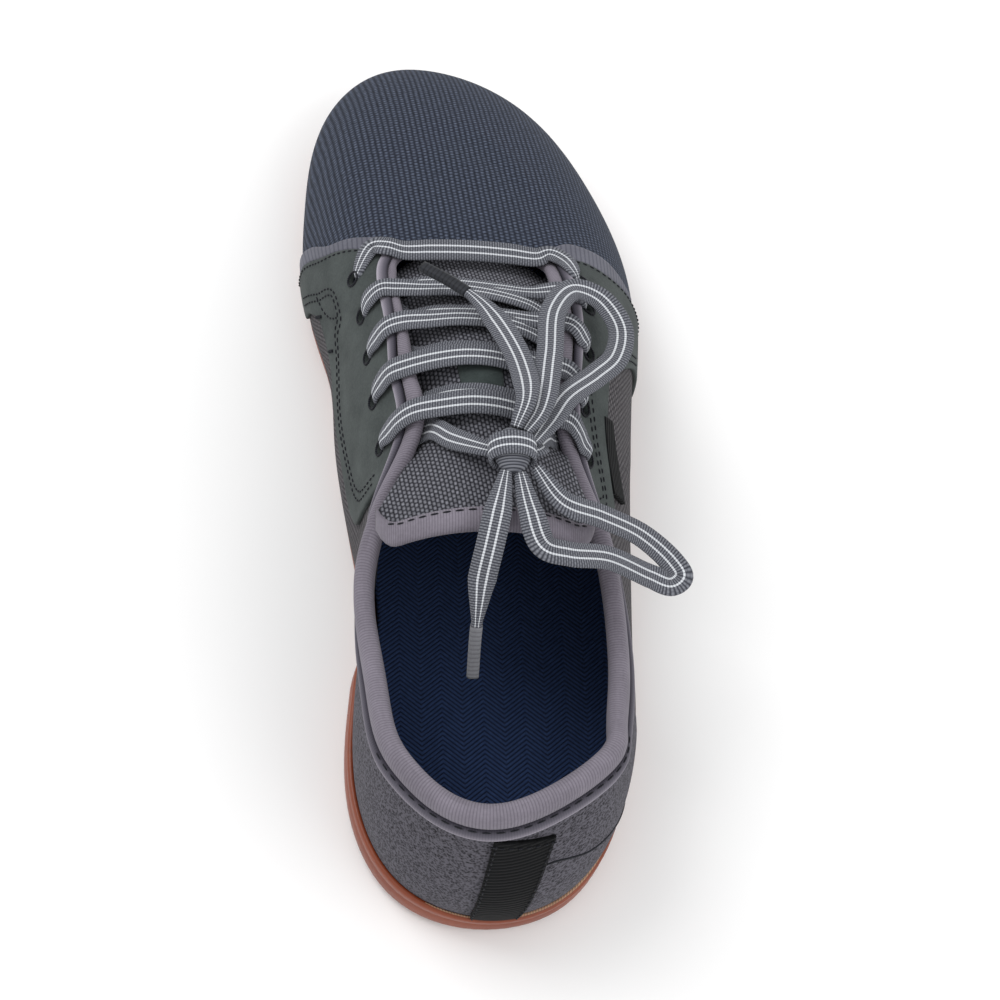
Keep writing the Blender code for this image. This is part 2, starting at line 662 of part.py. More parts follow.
def throat_place(share):
    """Places on the inner and the outer throat edge at the same length."""
    y = (THROAT_FRONT + (THROAT_BACK - THROAT_FRONT) * np.asarray(share, float)) * LENGTH
    inner = np.interp(-y, -edge_inner, side_inner)
    outer = np.interp(-y, -edge_outer, side_outer)
    return inner, outer


def tongue_middle(share, crown, drop, across):
    """Points across the throat between its two edges, raised in the middle."""
    inner, outer = throat_place(share)
    a = skin(inner, v_from_edge(inner, 0.0), -drop)
    b = skin(outer, v_from_edge(outer, 0.0), -drop)
    q = np.asarray(across)[..., None]
    point = a + (b - a) * (q + 1) / 2
    point[..., 2] += crown * (1 - q[..., 0] ** 2)
    point[..., 1] += TONGUE_REACH * (1 - share) ** 3 * (1 - q[..., 0] ** 2)
    return point


def tongue_row(share, crown, drop):
    inner, outer = throat_place(share)
    left = [skin(inner, v_from_edge(inner, d), -drop) for d in FLAP[:-1]]
    right = [skin(outer, v_from_edge(outer, d), -drop) for d in FLAP[:-1]]
    middle = tongue_middle(share, crown, drop, ACROSS)
    return np.array([*left, *middle, *right[::-1]])


def tongue_grid(drop):
    crowns = np.array(TONGUE_ROWS)
    rows = []
    for share in np.linspace(0.0, 1.0, 9):
        crown = np.interp(share, crowns[:, 0], crowns[:, 1])
        rows.append(tongue_row(share, crown, drop))
    front = rows[0].copy()
    fill = np.concatenate(((0.0, 0.0), 1 - ACROSS ** 4, (0.0, 0.0)))
    front[:, 1] += 2 * GAP + TONGUE_REACH * fill
    front[:, 2] -= TONGUE_SINK * fill
    rows.insert(0, front)
    last = rows[-1]
    width = np.linspace(-1.0, 1.0, len(last))
    centre = (last[2, 0] + last[-3, 0]) / 2
    level = (last[2] + last[-3]) / 2
    for back, rise, half, crown, lean in TONGUE_NECK:
        fade = back / TONGUE_NECK[-1][0]
        row = last.copy()
        row[:, 0] = centre - lean + width * half
        row[:, 1] = last[:, 1] * (1 - fade) + level[1] * fade - back
        row[:, 2] = level[2] + rise + crown * (1 - width ** 2) - 0.0025 * fade * width ** 4
        rows.append(row)
    return np.array(rows)


tongue_top = tongue_grid(TONGUE_DROP)
tongue_low = tongue_grid(TONGUE_DROP + TONGUE_THICK)
sheet("tongue", tongue_top, tongue_low, KNIT)

# Bound free edge of the tongue: a flat oval along its last row.
edge_top = tongue_top[-1]
edge_low = tongue_low[-1]
edge_middle = (edge_top + edge_low) / 2
edge_middle[:, 1] -= TONGUE_EDGE + GAP
turn = np.arange(8) / 8 * 2 * np.pi
half_edge = TONGUE_THICK / 2 + 0.0003
edge_rings = edge_middle[:, None] + np.stack([
    0 * turn,
    np.cos(turn) * TONGUE_EDGE,
    np.sin(turn) * half_edge,
], axis=1)[None]
tube("tongue_binding", edge_rings, TRIM)

# Lace keeper: a small suede patch on the crown of the tongue.
CROWN = np.array(TONGUE_ROWS)


def on_tongue(share, across, above):
    crown = np.interp(share, CROWN[:, 0], CROWN[:, 1])
    point = tongue_middle(share, crown, TONGUE_DROP, across)
    point[..., 2] += above
    return point


keeper_span = KEEPER_HALF / 0.0205
keeper_across = np.linspace(-0.15 - keeper_span, -0.15 + keeper_span, 5)
keeper_rows = np.linspace(*KEEPER_SPAN, 4)
keeper_high = np.array([on_tongue(r, keeper_across, GAP + KEEPER_THICK) for r in keeper_rows])
keeper_low = np.array([on_tongue(r, keeper_across, GAP) for r in keeper_rows])
sheet("lace_keeper", keeper_high, keeper_low, SUEDE)


def ribbon_rings(points, faces_up, width, thick):
    """Rectangular rings along a path; faces_up gives the flat side's direction at each point."""
    points = np.asarray(points)
    tangent = np.gradient(points, axis=0)
    tangent /= np.linalg.norm(tangent, axis=1, keepdims=True)
    side = np.cross(tangent, faces_up)
    side /= np.linalg.norm(side, axis=1, keepdims=True)
    up = np.cross(side, tangent)
    width = np.broadcast_to(width, len(points))[:, None]
    corners = ((-1, -1), (1, -1), (1, 1), (-1, 1))
    return np.stack([points + side * width / 2 * a + up * thick / 2 * b for a, b in corners], axis=1)


def tongue_up(share, across):
    """Outward direction of the tongue's top."""
    side = on_tongue(share, across + 0.05, 0.0) - on_tongue(share, across - 0.05, 0.0)
    back = on_tongue(share + 0.03, across, 0.0) - on_tongue(share - 0.03, across, 0.0)
    n = np.cross(back, side)
    return n / np.linalg.norm(n)


def over_tongue(share, across, lift):
    """Point over the tongue and the direction that a lace's flat side has there."""
    up = tongue_up(share, across)
    return on_tongue(share, across, 0.0) + up * lift, up


def eyelet(row, outer):
    """Place of an eyelet: around and down."""
    return EYELETS[row][2:4] if outer else EYELETS[row][:2]


def blend(path, count):
    """Centre line and flat side's direction from (point, direction) pairs."""
    both = open_spline(np.array([np.concatenate([p, u * 0.004]) for p, u in path]), count)
    return both[:, :3], both[:, 3:]


def over_edge(place, around, down):
    """Lace over the rolled edge and down to its eyelet."""
    thick = float(roll_half(place)[1])
    brink_v = v_from_edge(place, 0.0012)
    brink = skin(place, brink_v, 2 * thick - 0.7 * WALL + GAP + LACE_THICK)
    middle = (place + around) / 2
    rest_v = v_down(middle, down * 0.45)
    rest = skin(middle, rest_v, HIGH + 3 * GAP + LACE_THICK / 2)
    end_v = v_down(around, down)
    end = skin(around, end_v, HIGH + 2 * GAP + LACE_THICK / 2)
    tilt = normal(place, brink_v) + UP * 0.5
    over = [(brink, tilt / np.linalg.norm(tilt)), (rest, normal(middle, rest_v))]
    return over + [(end, normal(around, end_v))]


def crossing(row, from_outer, lift):
    """Lace from under one side at this row, over the tongue, to the next eyelet across."""
    leave = EYELETS[row][5 if from_outer else 4]
    arrive = EYELETS[row + 1][4 if from_outer else 5] - LACE_SAG
    near = throat_place(leave)[1 if from_outer else 0]
    far = throat_place(arrive)[0 if from_outer else 1]
    sign = -1.0 if from_outer else 1.0
    near_point = on_tongue(leave, -sign, 0.0)
    far_point = on_tongue(arrive, sign, 0.0)
    deep = skin(near, v_from_edge(near, 0.0006), -UNDER)
    lip = skin(near, v_from_edge(near, 0.0), -UNDER) + (far_point - near_point) * 0.03
    up = normal(near, v_from_edge(near, 0.002))
    path = [(deep, up), (lip, up)]
    for step, above in ((0.16, lift), (0.5, lift), (0.80, lift + EDGE_RISE)):
        sag = LACE_SAG * 4 * step * (1 - step)
        path.append(over_tongue(leave + (arrive - leave) * step + sag, sign * (2 * step - 1), above))
    path += over_edge(far, *eyelet(row + 1, not from_outer))
    return ribbon_rings(*blend(path, 15), LACE_WIDTH, LACE_THICK)


def joined(name, parts, mat):
    """One solid from bodies that cross each other."""
    first = tube(name, parts[0], mat)
    for k, rings in enumerate(parts[1:]):
        tool = tube(name + "_tool", rings, mat)
        tool.hide_render = True
        tool.display_type = "WIRE"
        mod = first.modifiers.new("join", "BOOLEAN")
        mod.operation = "UNION"
        mod.solver = "EXACT"
        mod.object = tool
    return first


# Straight bar over the front eyelets, then four crossings.
bar_inner, bar_outer = throat_place(BAR_SHARE)
bar_path = over_edge(bar_inner, *eyelet(0, False))[::-1]
for across in (-0.6, 0.0, 0.6):
    bar_path.append(over_tongue(BAR_SHARE - 0.03, across, BAR_RISE))
bar_path += over_edge(bar_outer, *eyelet(0, True))
tube("lace_bar", ribbon_rings(*blend(bar_path, 17), LACE_WIDTH, LACE_THICK), LACE)
for row in range(4):
    lift = LACE_LIFT if row < 2 else LACE_LIFT + KEEPER_THICK
    pair = [crossing(row, False, lift), crossing(row, True, lift + LACE_THICK / 2)]
    joined("lace_cross_%d" % (row + 1), pair, LACE)

# Knot: a squat lump with the two lace ends that come from under the last eyelets.
knot_at = np.array((KNOT[0] * BALL_WIDTH, KNOT[1] * LENGTH, KNOT[2] * INSTEP_HEIGHT))
lat = np.linspace(-0.5, 0.5, 9)[1:-1] * np.pi
lon = np.arange(12) / 12 * 2 * np.pi
knot_rings = knot_at + np.stack([
    np.cos(lat)[:, None] * np.cos(lon) * KNOT_SIZE[0],
    np.cos(lat)[:, None] * np.sin(lon) * KNOT_SIZE[1],
    np.sin(lat)[:, None] * (lon * 0 + 1) * KNOT_SIZE[2],
], axis=-1)


def feeder(outer):
    """Lace from under the last eyelet to the middle of the knot."""
    leave = EYELETS[4][5 if outer else 4] - 0.01
    near = throat_place(leave)[1 if outer else 0]
    sign = 1.0 if outer else -1.0
    up = normal(near, v_from_edge(near, 0.002))
    path = [
        (skin(near, v_from_edge(near, 0.0018), -UNDER), up),
        (skin(near, v_from_edge(near, 0.0), -UNDER), up),
        over_tongue(0.99, sign * 0.80, FEEDER_RISE[0]),
        over_tongue(1.06, sign * 0.52, FEEDER_RISE[1]),
        (knot_at + np.array((sign, 0.75, -1.1556)) * KNOT_SIZE, UP),
        (knot_at + np.array((sign * 0.2, 0.0, -0.5556)) * KNOT_SIZE, UP),
    ]
    line, tilt = blend(path, 12)
    share = np.linspace(0.0, 1.0, 12)
    return ribbon_rings(line, tilt, LACE_WIDTH * (0.85 - 0.35 * share), LACE_THICK)


joined("lace_knot", [knot_rings, feeder(False), feeder(True)], LACE)


def route(rows, count):
    """Smooth centre line in metres from a table of shares."""
    return open_spline(np.array(rows) * (BALL_WIDTH, LENGTH, INSTEP_HEIGHT), count)


def gathered(count, both):
    """Width along a lace that is pinched where it enters the knot."""
    share = np.linspace(0.0, 1.0, count)
    near = np.minimum(share, 1 - share) if both else share
    return LACE_WIDTH * (0.35 + 0.65 * np.clip(near / 0.14, 0.0, 1.0) ** 0.8)


for name, rows in (("lace_loop_front", LOOP_FRONT), ("lace_loop_side", LOOP_SIDE)):
    line = route(rows, 34)
    flat = np.broadcast_to(UP, line.shape)
    tube(name, ribbon_rings(line, flat, gathered(34, True), LACE_THICK), LACE)


def end_rings(rows, count):
    """Free end: flat lace that narrows into a round stiff tip."""
    line = route(rows, count)
    length = np.concatenate(([0.0], np.cumsum(np.linalg.norm(np.diff(line, axis=0), axis=1))))
    left = length[-1] - length
    wide = np.clip((left - TIP_LENGTH) / 0.010, 0.0, 1.0)
    width = TIP_WIDTH + (gathered(count, False) - TIP_WIDTH) * wide
    thick = TIP_WIDTH * 0.8 + (LACE_THICK - TIP_WIDTH * 0.8) * wide
    flat = ribbon_rings(line, np.broadcast_to(UP, line.shape), width, 1.0)
    middle = line[:, None]
    side = (flat[:, 1] - flat[:, 0]) / 2
    rise = (flat[:, 3] - flat[:, 0]) / 2 * thick[:, None]
    corners = ((-1, -1), (1, -1), (1, 1), (-1, 1))
    return np.concatenate([middle + (side * a + rise * b)[:, None] for a, b in corners], axis=1)


for name, rows in (("lace_end_front", END_FRONT), ("lace_end_back", END_BACK)):
    tube(name, end_rings(rows, 22), LACE)
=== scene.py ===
"""Right-foot barefoot shoe: knit upper, suede eyestays, ribbed collar, gum cupsole, flat laces."""
import math

import bmesh
import bpy
import numpy as np
from mathutils import Matrix, Vector


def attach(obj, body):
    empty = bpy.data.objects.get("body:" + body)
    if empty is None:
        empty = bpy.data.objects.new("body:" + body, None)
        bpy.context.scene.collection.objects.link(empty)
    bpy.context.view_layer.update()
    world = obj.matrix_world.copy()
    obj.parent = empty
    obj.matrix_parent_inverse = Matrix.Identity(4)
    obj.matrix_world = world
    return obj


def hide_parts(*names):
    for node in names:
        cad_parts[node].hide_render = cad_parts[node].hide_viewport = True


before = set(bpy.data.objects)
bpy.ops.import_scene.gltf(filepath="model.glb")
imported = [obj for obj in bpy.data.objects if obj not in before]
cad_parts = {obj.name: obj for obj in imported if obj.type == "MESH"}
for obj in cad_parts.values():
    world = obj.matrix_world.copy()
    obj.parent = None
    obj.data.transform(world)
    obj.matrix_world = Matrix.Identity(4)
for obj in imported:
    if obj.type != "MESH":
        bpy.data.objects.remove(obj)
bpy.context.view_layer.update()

# Camera: its place and the point it looks at in metres, roll in degrees, lens in millimetres.
CAMERA_PLACE = (-0.0575, -0.2842, 0.5412)
CAMERA_AIM = (0.005, -0.024, 0.030)
CAMERA_ROLL = 12.69
CAMERA_LENS = 71.0

# Main sizes in metres. +Y is the toe, +X the outer side of the foot, z = 0 the ground.
LENGTH = 0.286
BALL_WIDTH = 0.107
INSTEP_HEIGHT = 0.0748
HEEL_HEIGHT = 0.0671
SOLE_BASE = 0.0065
RIM_HEIGHT = 0.0062
FLANGE = 0.0030
TUCK = 0.0022
TOE_SPRING = 0.0050
ARCH_LIFT = 0.0015
WALL = 0.0020
GAP = 0.0004
INSOLE_THICK = 0.0035
TONGUE_THICK = 0.0028
TONGUE_DROP = 0.0049
LACE_WIDTH = 0.0075
LACE_THICK = 0.0013

# One row per place round the foot, from the back of the heel by the outer side to the toe.
# side, edge_side, low_out, top_out are shares of the ball width; along and edge_along of the
# length; edge_rise, low_up, top_down of the height named in the second column.
STATION_COLUMNS = ("place", "height", "side", "along", "edge_side", "edge_along",
                   "edge_rise", "low_out", "low_up", "top_out", "top_down")
STATIONS = (
    ("heel_back", "heel", 0.038, 0.007, 0.011, 0.042, 1.001, 0.085, 0.298, 0.034, 0.309),
    ("heel_outer", "heel", 0.198, 0.026, 0.237, 0.085, 1.012, 0.077, 0.339, 0.059, 0.260),
    ("heel_side_outer", "heel", 0.330, 0.094, 0.302, 0.134, 0.935, 0.067, 0.341, 0.064, 0.230),
    ("ankle_outer", "heel", 0.385, 0.177, 0.315, 0.192, 0.873, 0.056, 0.304, 0.057, 0.203),
    ("waist_outer", "instep", 0.425, 0.315, 0.286, 0.328, 0.783, 0.023, 0.267, 0.058, 0.186),
    ("instep_outer", "instep", 0.440, 0.441, 0.184, 0.415, 0.970, 0.043, 0.351, 0.121, 0.184),
    ("ball_outer", "instep", 0.466, 0.567, 0.193, 0.525, 0.989, 0.027, 0.374, 0.204, 0.134),
    ("toe_outer", "instep", 0.491, 0.681, 0.190, 0.601, 0.855, 0.018, 0.321, 0.242, 0.121),
    ("tip_outer", "instep", 0.384, 0.829, 0.163, 0.638, 0.771, 0.033, 0.311, 0.326, 0.100),
    ("tip_mid", "instep", 0.126, 0.960, 0.023, 0.658, 0.764, 0.020, 0.329, 0.430, 0.106),
    ("tip", "instep", -0.240, 0.980, -0.121, 0.655, 0.762, 0.018, 0.341, 0.466, 0.107),
    ("tip_inner", "instep", -0.358, 0.940, -0.188, 0.646, 0.768, 0.018, 0.346, 0.411, 0.108),
    ("toe_inner", "instep", -0.447, 0.802, -0.223, 0.619, 0.800, 0.019, 0.348, 0.280, 0.107),
    ("ball_inner", "instep", -0.429, 0.667, -0.221, 0.584, 0.862, 0.019, 0.374, 0.224, 0.120),
    ("arch_inner", "instep", -0.379, 0.599, -0.206, 0.528, 0.949, 0.019, 0.388, 0.178, 0.140),
    ("vamp_inner", "instep", -0.354, 0.491, -0.189, 0.469, 0.989, 0.019, 0.401, 0.131, 0.160),
    ("instep_inner", "instep", -0.323, 0.406, -0.182, 0.409, 1.000, 0.019, 0.401, 0.121, 0.167),
    ("waist_inner", "instep", -0.293, 0.307, -0.306, 0.320, 0.825, 0.019, 0.321, 0.065, 0.187),
    ("ankle_inner", "heel", -0.321, 0.165, -0.296, 0.189, 0.874, 0.028, 0.328, 0.046, 0.209),
    ("heel_side_inner", "heel", -0.301, 0.100, -0.279, 0.134, 0.925, 0.029, 0.338, 0.046, 0.225),
    ("heel_inner", "heel", -0.203, 0.035, -0.226, 0.087, 0.972, 0.044, 0.329, 0.039, 0.268),
)

# Rolled edge round the opening: around (share of the way round the foot, negative on the inner
# side), half height and half thickness in metres.
BINDING = (
    (-0.440, 0.0025, 0.0013),
    (-0.250, 0.0025, 0.0013),
    (-0.205, 0.0028, 0.0017),
    (-0.165, 0.0034, 0.0026),
    (-0.090, 0.0036, 0.0028),
    (0.000, 0.0037, 0.0029),
    (0.090, 0.0036, 0.0028),
    (0.165, 0.0034, 0.0026),
    (0.210, 0.0028, 0.0017),
    (0.250, 0.0025, 0.0013),
    (0.392, 0.0025, 0.0013),
)
ROLL_MARGIN = 0.016
ROLL_FADE = 0.012

# Panel borders: around and down (0 at the rolled edge, 1 at the sole), from the throat down.
EYESTAY_INNER_FRONT = ((0.6150, 0.000), (0.6310, 0.070), (0.6480, 0.230), (0.6570, 0.460),
                       (0.6540, 0.700), (0.6520, 0.965))
EYESTAY_INNER_BACK = ((0.8080, 0.000), (0.8075, 0.280), (0.8020, 0.540), (0.7870, 0.620),
                      (0.7600, 0.630), (0.7330, 0.660), (0.7070, 0.670), (0.6920, 0.650),
                      (0.6800, 0.740), (0.6720, 0.965))
EYESTAY_OUTER_FRONT = ((0.3670, 0.000), (0.3480, 0.070), (0.3350, 0.165), (0.3220, 0.300),
                       (0.3140, 0.500), (0.3110, 0.730), (0.3100, 0.965))
EYESTAY_OUTER_BACK = ((0.1800, 0.000), (0.1840, 0.200), (0.1930, 0.290), (0.2150, 0.262),
                      (0.2270, 0.205), (0.2380, 0.165), (0.2465, 0.150), (0.2530, 0.230),
                      (0.2650, 0.420), (0.2740, 0.620), (0.2770, 0.965))
TRIM_INNER_NEAR = EYESTAY_INNER_FRONT[:-1] + ((0.6520, 0.900),)
TRIM_INNER_FAR = ((0.5650, 0.004), (0.5900, 0.085), (0.6220, 0.190), (0.6470, 0.400),
                  (0.6455, 0.650), (0.6430, 0.900))
TRIM_OUTER_NEAR = EYESTAY_OUTER_FRONT[:4] + ((0.3160, 0.500), (0.3150, 0.600))
TRIM_OUTER_FAR = ((0.3850, 0.004), (0.3720, 0.105), (0.3520, 0.217), (0.3330, 0.390),
                  (0.3222, 0.510), (0.3178, 0.600))
HEEL_TAB_HALF = 0.0058
HEEL_TAB_SHIFT = (0.0036, -0.0014)
TAG_AROUND = (0.2000, 0.2340)
TAG_DOWN = ((0.300, 0.450), (0.225, 0.300))

# Throat from its front corners to the collar corners, shares of the length. Tongue rows: share
# of that way, crown in metres over the side edges.
THROAT_FRONT = 0.632
THROAT_BACK = 0.409
TONGUE_ROWS = (
    (0.000, 0.0018),
    (0.200, 0.0041),
    (0.450, 0.0067),
    (0.700, 0.0087),
    (1.000, 0.0102),
)
# Free neck of the tongue behind the collar corners: back, rise of its sides, half width, crown,
# lean to the inner side.
TONGUE_NECK = (
    (0.0100, 0.0014, 0.0218, 0.0105, 0.0006),
    (0.0210, 0.0024, 0.0257, 0.0118, 0.0014),
    (0.0315, 0.0030, 0.0294, 0.0130, 0.0020),
)
TONGUE_EDGE = 0.0023

# Eyelets from front to back: around and down on the inner side, then on the outer side, then
# where the lace leaves the throat edge on each side, as a share of the throat's length.
EYELETS = (
    (0.6770, 0.215, 0.3150, 0.075, 0.125, 0.125),
    (0.7020, 0.225, 0.2880, 0.075, 0.275, 0.300),
    (0.7300, 0.200, 0.2600, 0.070, 0.500, 0.510),
    (0.7600, 0.183, 0.2330, 0.065, 0.735, 0.760),
    (0.7880, 0.150, 0.2080, 0.060, 0.975, 0.985),
)
LACE_SAG = 0.045
BAR_SHARE = -0.050

# Bow: centre lines as shares of the ball width, the length and the instep height.
KNOT = (0.012, -0.143, 1.225)
LOOP_FRONT = (
    (0.0465, -0.1233, 1.227),
    (0.087, -0.098, 1.217),
    (0.123, -0.032, 1.170),
    (0.149, 0.029, 1.116),
    (0.212, 0.062, 1.056),
    (0.285, 0.058, 1.016),
    (0.333, 0.028, 1.003),
    (0.314, -0.009, 1.023),
    (0.255, -0.035, 1.056),
    (0.164, -0.071, 1.130),
    (0.112, -0.105, 1.171),
    (0.0692, -0.1303, 1.202),
)
LOOP_SIDE = (
    (0.0293, -0.1645, 1.219),
    (0.049, -0.205, 1.230),
    (0.080, -0.236, 1.203),
    (0.144, -0.239, 1.163),
    (0.250, -0.232, 1.076),
    (0.368, -0.2355, 0.955),
    (0.422, -0.2390, 0.925),
    (0.448, -0.2300, 0.917),
    (0.428, -0.2170, 0.929),
    (0.350, -0.1980, 0.989),
    (0.242, -0.191, 1.083),
    (0.136, -0.186, 1.163),
    (0.0694, -0.1573, 1.2086),
)
END_FRONT = (
    (0.0211, -0.1219, 1.247),
    (0.050, -0.092, 1.259),
    (0.047, -0.049, 1.203),
    (0.014, -0.006, 1.156),
    (-0.037, 0.033, 1.110),
    (-0.106, 0.063, 1.070),
    (-0.183, 0.089, 1.027),
)
END_BACK = (
    (-0.006, -0.1640, 1.226),
    (-0.030, -0.205, 1.235),
    (-0.050, -0.236, 1.203),
    (-0.067, -0.261, 1.123),
    (-0.071, -0.276, 1.056),
    (-0.074, -0.296, 0.936),
    (-0.073, -0.317, 0.789),
)
BOW_WIDTH = 0.0074
BOW_THICK = 0.0012
GATHERED = 0.42
TIP_LENGTH = 0.0180
TIP_WIDTH = 0.0030
TIP_THICK = 0.0022

UP = np.array((0.0, 0.0, 1.0))


def unit(vectors):
    return vectors / np.linalg.norm(vectors, axis=-1, keepdims=True)


def lookup(table, at):
    """Every further column of a table, interpolated over its first."""
    table = np.array(table)
    return [np.interp(at, table[:, 0], values) for values in table.T[1:]]


def squared(wave, power):
    """Sine or cosine pressed towards a square wave by a power under 1."""
    return np.sign(wave) * np.abs(wave) ** power


def hoops(centre, side, top, wide, high, points, square=(1.0, 1.0)):
    """Rings round a centre line from two directions and their half sizes."""
    spin = np.arange(points) / points * 2 * np.pi
    c = squared(np.cos(spin), square[0])
    s = squared(np.sin(spin), square[1])
    wide, high = (np.broadcast_to(size, len(centre))[:, None, None] for size in (wide, high))
    return (centre[:, None] + c[None, :, None] * side[:, None] * wide
            + s[None, :, None] * top[:, None] * high)


def periodic_spline(knots, values):
    """Smooth closed curve through values at knots in 0 to 1; returns a function of the share."""
    count = len(knots)
    step = np.diff(np.append(knots, knots[0] + 1.0))
    matrix = np.zeros((count, count))
    right = np.zeros(values.shape)
    for i in range(count):
        before = (i - 1) % count
        after = (i + 1) % count
        matrix[i, before] += step[before]
        matrix[i, i] += 2 * (step[before] + step[i])
        matrix[i, after] += step[i]
        rise = (values[after] - values[i]) / step[i]
        run = (values[i] - values[before]) / step[before]
        right[i] = 6 * (rise - run)
    bend = np.linalg.solve(matrix, right)

    def at(share):
        share = np.mod(np.asarray(share, float), 1.0)
        k = np.clip(np.searchsorted(knots, share, side="right") - 1, 0, count - 1)
        n = (k + 1) % count
        h = step[k][..., None]
        d = (share - knots[k])[..., None]
        e = h - d
        curve = (e ** 3 * bend[k] + d ** 3 * bend[n]) / (6 * h)
        return curve + (values[k] / h - bend[k] * h / 6) * e + (values[n] / h - bend[n] * h / 6) * d

    return at


def open_spline(rows, count):
    """Points on a smooth curve through the rows, evenly spaced by row length."""
    rows = np.asarray(rows, float)
    gaps = np.maximum(np.linalg.norm(np.diff(rows, axis=0), axis=1), 1e-9) ** 0.5
    knots = np.concatenate(([0.0], np.cumsum(gaps)))
    slopes = np.gradient(rows, knots, axis=0)
    want = np.linspace(0.0, knots[-1], count)
    k = np.clip(np.searchsorted(knots, want, side="right") - 1, 0, len(rows) - 2)
    h = (knots[k + 1] - knots[k])[:, None]
    t = (want - knots[k])[:, None] / h
    first = (2 * t ** 3 - 3 * t ** 2 + 1) * rows[k] + (t ** 3 - 2 * t ** 2 + t) * h * slopes[k]
    return first + (3 * t ** 2 - 2 * t ** 3) * rows[k + 1] + (t ** 3 - t ** 2) * h * slopes[k + 1]


def column(name):
    return np.array([row[STATION_COLUMNS.index(name)] for row in STATIONS], float)


HEIGHT = np.array([HEEL_HEIGHT if row[1] == "heel" else INSTEP_HEIGHT for row in STATIONS])
SHAPE = np.stack([
    column("side") * BALL_WIDTH,
    column("along") * LENGTH,
    column("edge_side") * BALL_WIDTH,
    column("edge_along") * LENGTH,
    column("edge_rise") * HEIGHT,
    column("low_out") * BALL_WIDTH,
    column("low_up") * HEIGHT,
    column("top_out") * BALL_WIDTH,
    column("top_down") * HEIGHT,
], axis=1)
STRIDE = np.linalg.norm(np.roll(SHAPE[:, :2], -1, axis=0) - SHAPE[:, :2], axis=1)
PERIMETER = STRIDE.sum()
shape_at = periodic_spline(np.concatenate(([0.0], np.cumsum(STRIDE)[:-1])) / PERIMETER, SHAPE)


def spring(y):
    """Lift of the sole towards the toe."""
    return TOE_SPRING * np.clip((y / LENGTH - 0.74) / 0.26, 0.0, 1.0) ** 2


def arch(y):
    """Small lift of the tread under the waist, nothing at the heel and the ball."""
    share = np.clip((y / LENGTH - 0.27) / 0.25, 0.0, 1.0)
    return ARCH_LIFT * np.sin(np.pi * share) ** 2


def station(around):
    """Shape values of a place, its point on the plan curve and the direction outwards."""
    row = shape_at(around)
    foot = row[..., :2]
    ahead = unit(shape_at(np.asarray(around) + 1e-4)[..., :2] - foot)
    return row, foot, np.stack([ahead[..., 1], -ahead[..., 0]], axis=-1)


def outline(around, out):
    """Plan curve of the foot, moved outwards; x and y only."""
    _, foot, side = station(around)
    return foot + side * np.asarray(out)[..., None]


# Along the sole from its middle: where the ledge goes under the upper, where the rim gets lower,
# and how much further forward both lie on the inner side.
LEDGE_START, LEDGE_SPAN = -0.096, 0.016
RIM_START, RIM_SPAN = -0.132, 0.062
RIM_FALL = 0.80
INNER_SHIFT = 0.022


def past_heel(foot, start, span):
    """Rises from 0 to 1 ahead of the heel; on the inner side it starts further forward."""
    inner = np.interp(foot[..., 0], (-0.032, -0.010), (INNER_SHIFT, 0.0))
    t = np.clip((foot[..., 1] - CENTRE[1] - start - inner) / span, 0.0, 1.0)
    return t * t * (3 - 2 * t)


def ledge(foot):
    """Share of the sole's ledge that shows outside the upper: all at the heel, none in front."""
    return 1.0 - past_heel(foot, LEDGE_START, LEDGE_SPAN)


OUTER_RING = outline(np.linspace(0.0, 1.0, 721), FLANGE + 0.0008)
CENTRE = (OUTER_RING.max(axis=0) + OUTER_RING.min(axis=0)) / 2


# In front the upper swells until it covers the sole's edge: share of the swell by height.
SWELL_PLACE = np.linspace(0.0, 1.0, 41)
SWELL = (0.72 + 0.28 * np.sin(np.pi * np.clip(SWELL_PLACE / 0.36, 0, 1))) * np.clip(
    (0.70 - SWELL_PLACE) / 0.45, 0.0, 1.0) ** 1.5


def curve_at(row, foot, out, v):
    """Swept curve of one place without the swell."""
    floor = SOLE_BASE + GAP + spring(foot[..., 1])
    away = unit(foot - row[..., 2:4])
    p0 = np.concatenate([foot, floor[..., None]], axis=-1)
    p1 = p0 + np.concatenate([out * row[..., 5:6], row[..., 6:7]], axis=-1)
    p3 = np.concatenate([row[..., 2:4], row[..., 4:5]], axis=-1)
    p2 = p3 + np.concatenate([away * row[..., 7:8], -row[..., 8:9]], axis=-1)
    return (1 - v) ** 3 * p0 + 3 * (1 - v) ** 2 * v * p1 + 3 * (1 - v) * v * v * p2 + v ** 3 * p3


def swell_table():
    """Swell round the foot, so that the upper and the sole's edge end at the same outline."""
    around = np.arange(240) / 240
    row, foot, out = station(around[:, None])
    v = np.linspace(0.0, 0.45, 24)[None, :, None]
    reach = ((curve_at(row, foot, out, v)[..., :2] - foot) * out).sum(axis=-1).max(axis=1)
    over = np.interp(foot[:, 0, 0], (-0.032, -0.005), (0.0018, 0.0001))
    need = np.clip(FLANGE - TUCK + over - reach, 0.0, FLANGE) * (1 - ledge(foot[:, 0]))
    for _ in range(6):
        need = (np.roll(need, 1) + 2 * need + np.roll(need, -1)) / 4
    return around, need


SWELL_ROUND = swell_table()


def profile(around, v):
    """Outer face of the upper: one swept curve per place, v = 0 at the sole, 1 at the opening."""
    around = np.asarray(around, float)
    v = np.asarray(v, float)[..., None]
    row, foot, out = station(around)
    point = curve_at(row, foot, out, v)
    swell = np.interp(np.mod(around, 1.0), *SWELL_ROUND, period=1.0)[..., None]
    point[..., :2] += out * (swell * np.interp(v, SWELL_PLACE, SWELL)) - CENTRE
    return point


def normal(around, v):
    """Outward direction of the upper's outer face."""
    v = np.clip(v, 0.004, 0.996)
    across = profile(around + 2e-3, v) - profile(around - 2e-3, v)
    upward = profile(around, v + 4e-3) - profile(around, v - 4e-3)
    return unit(np.cross(across, upward))


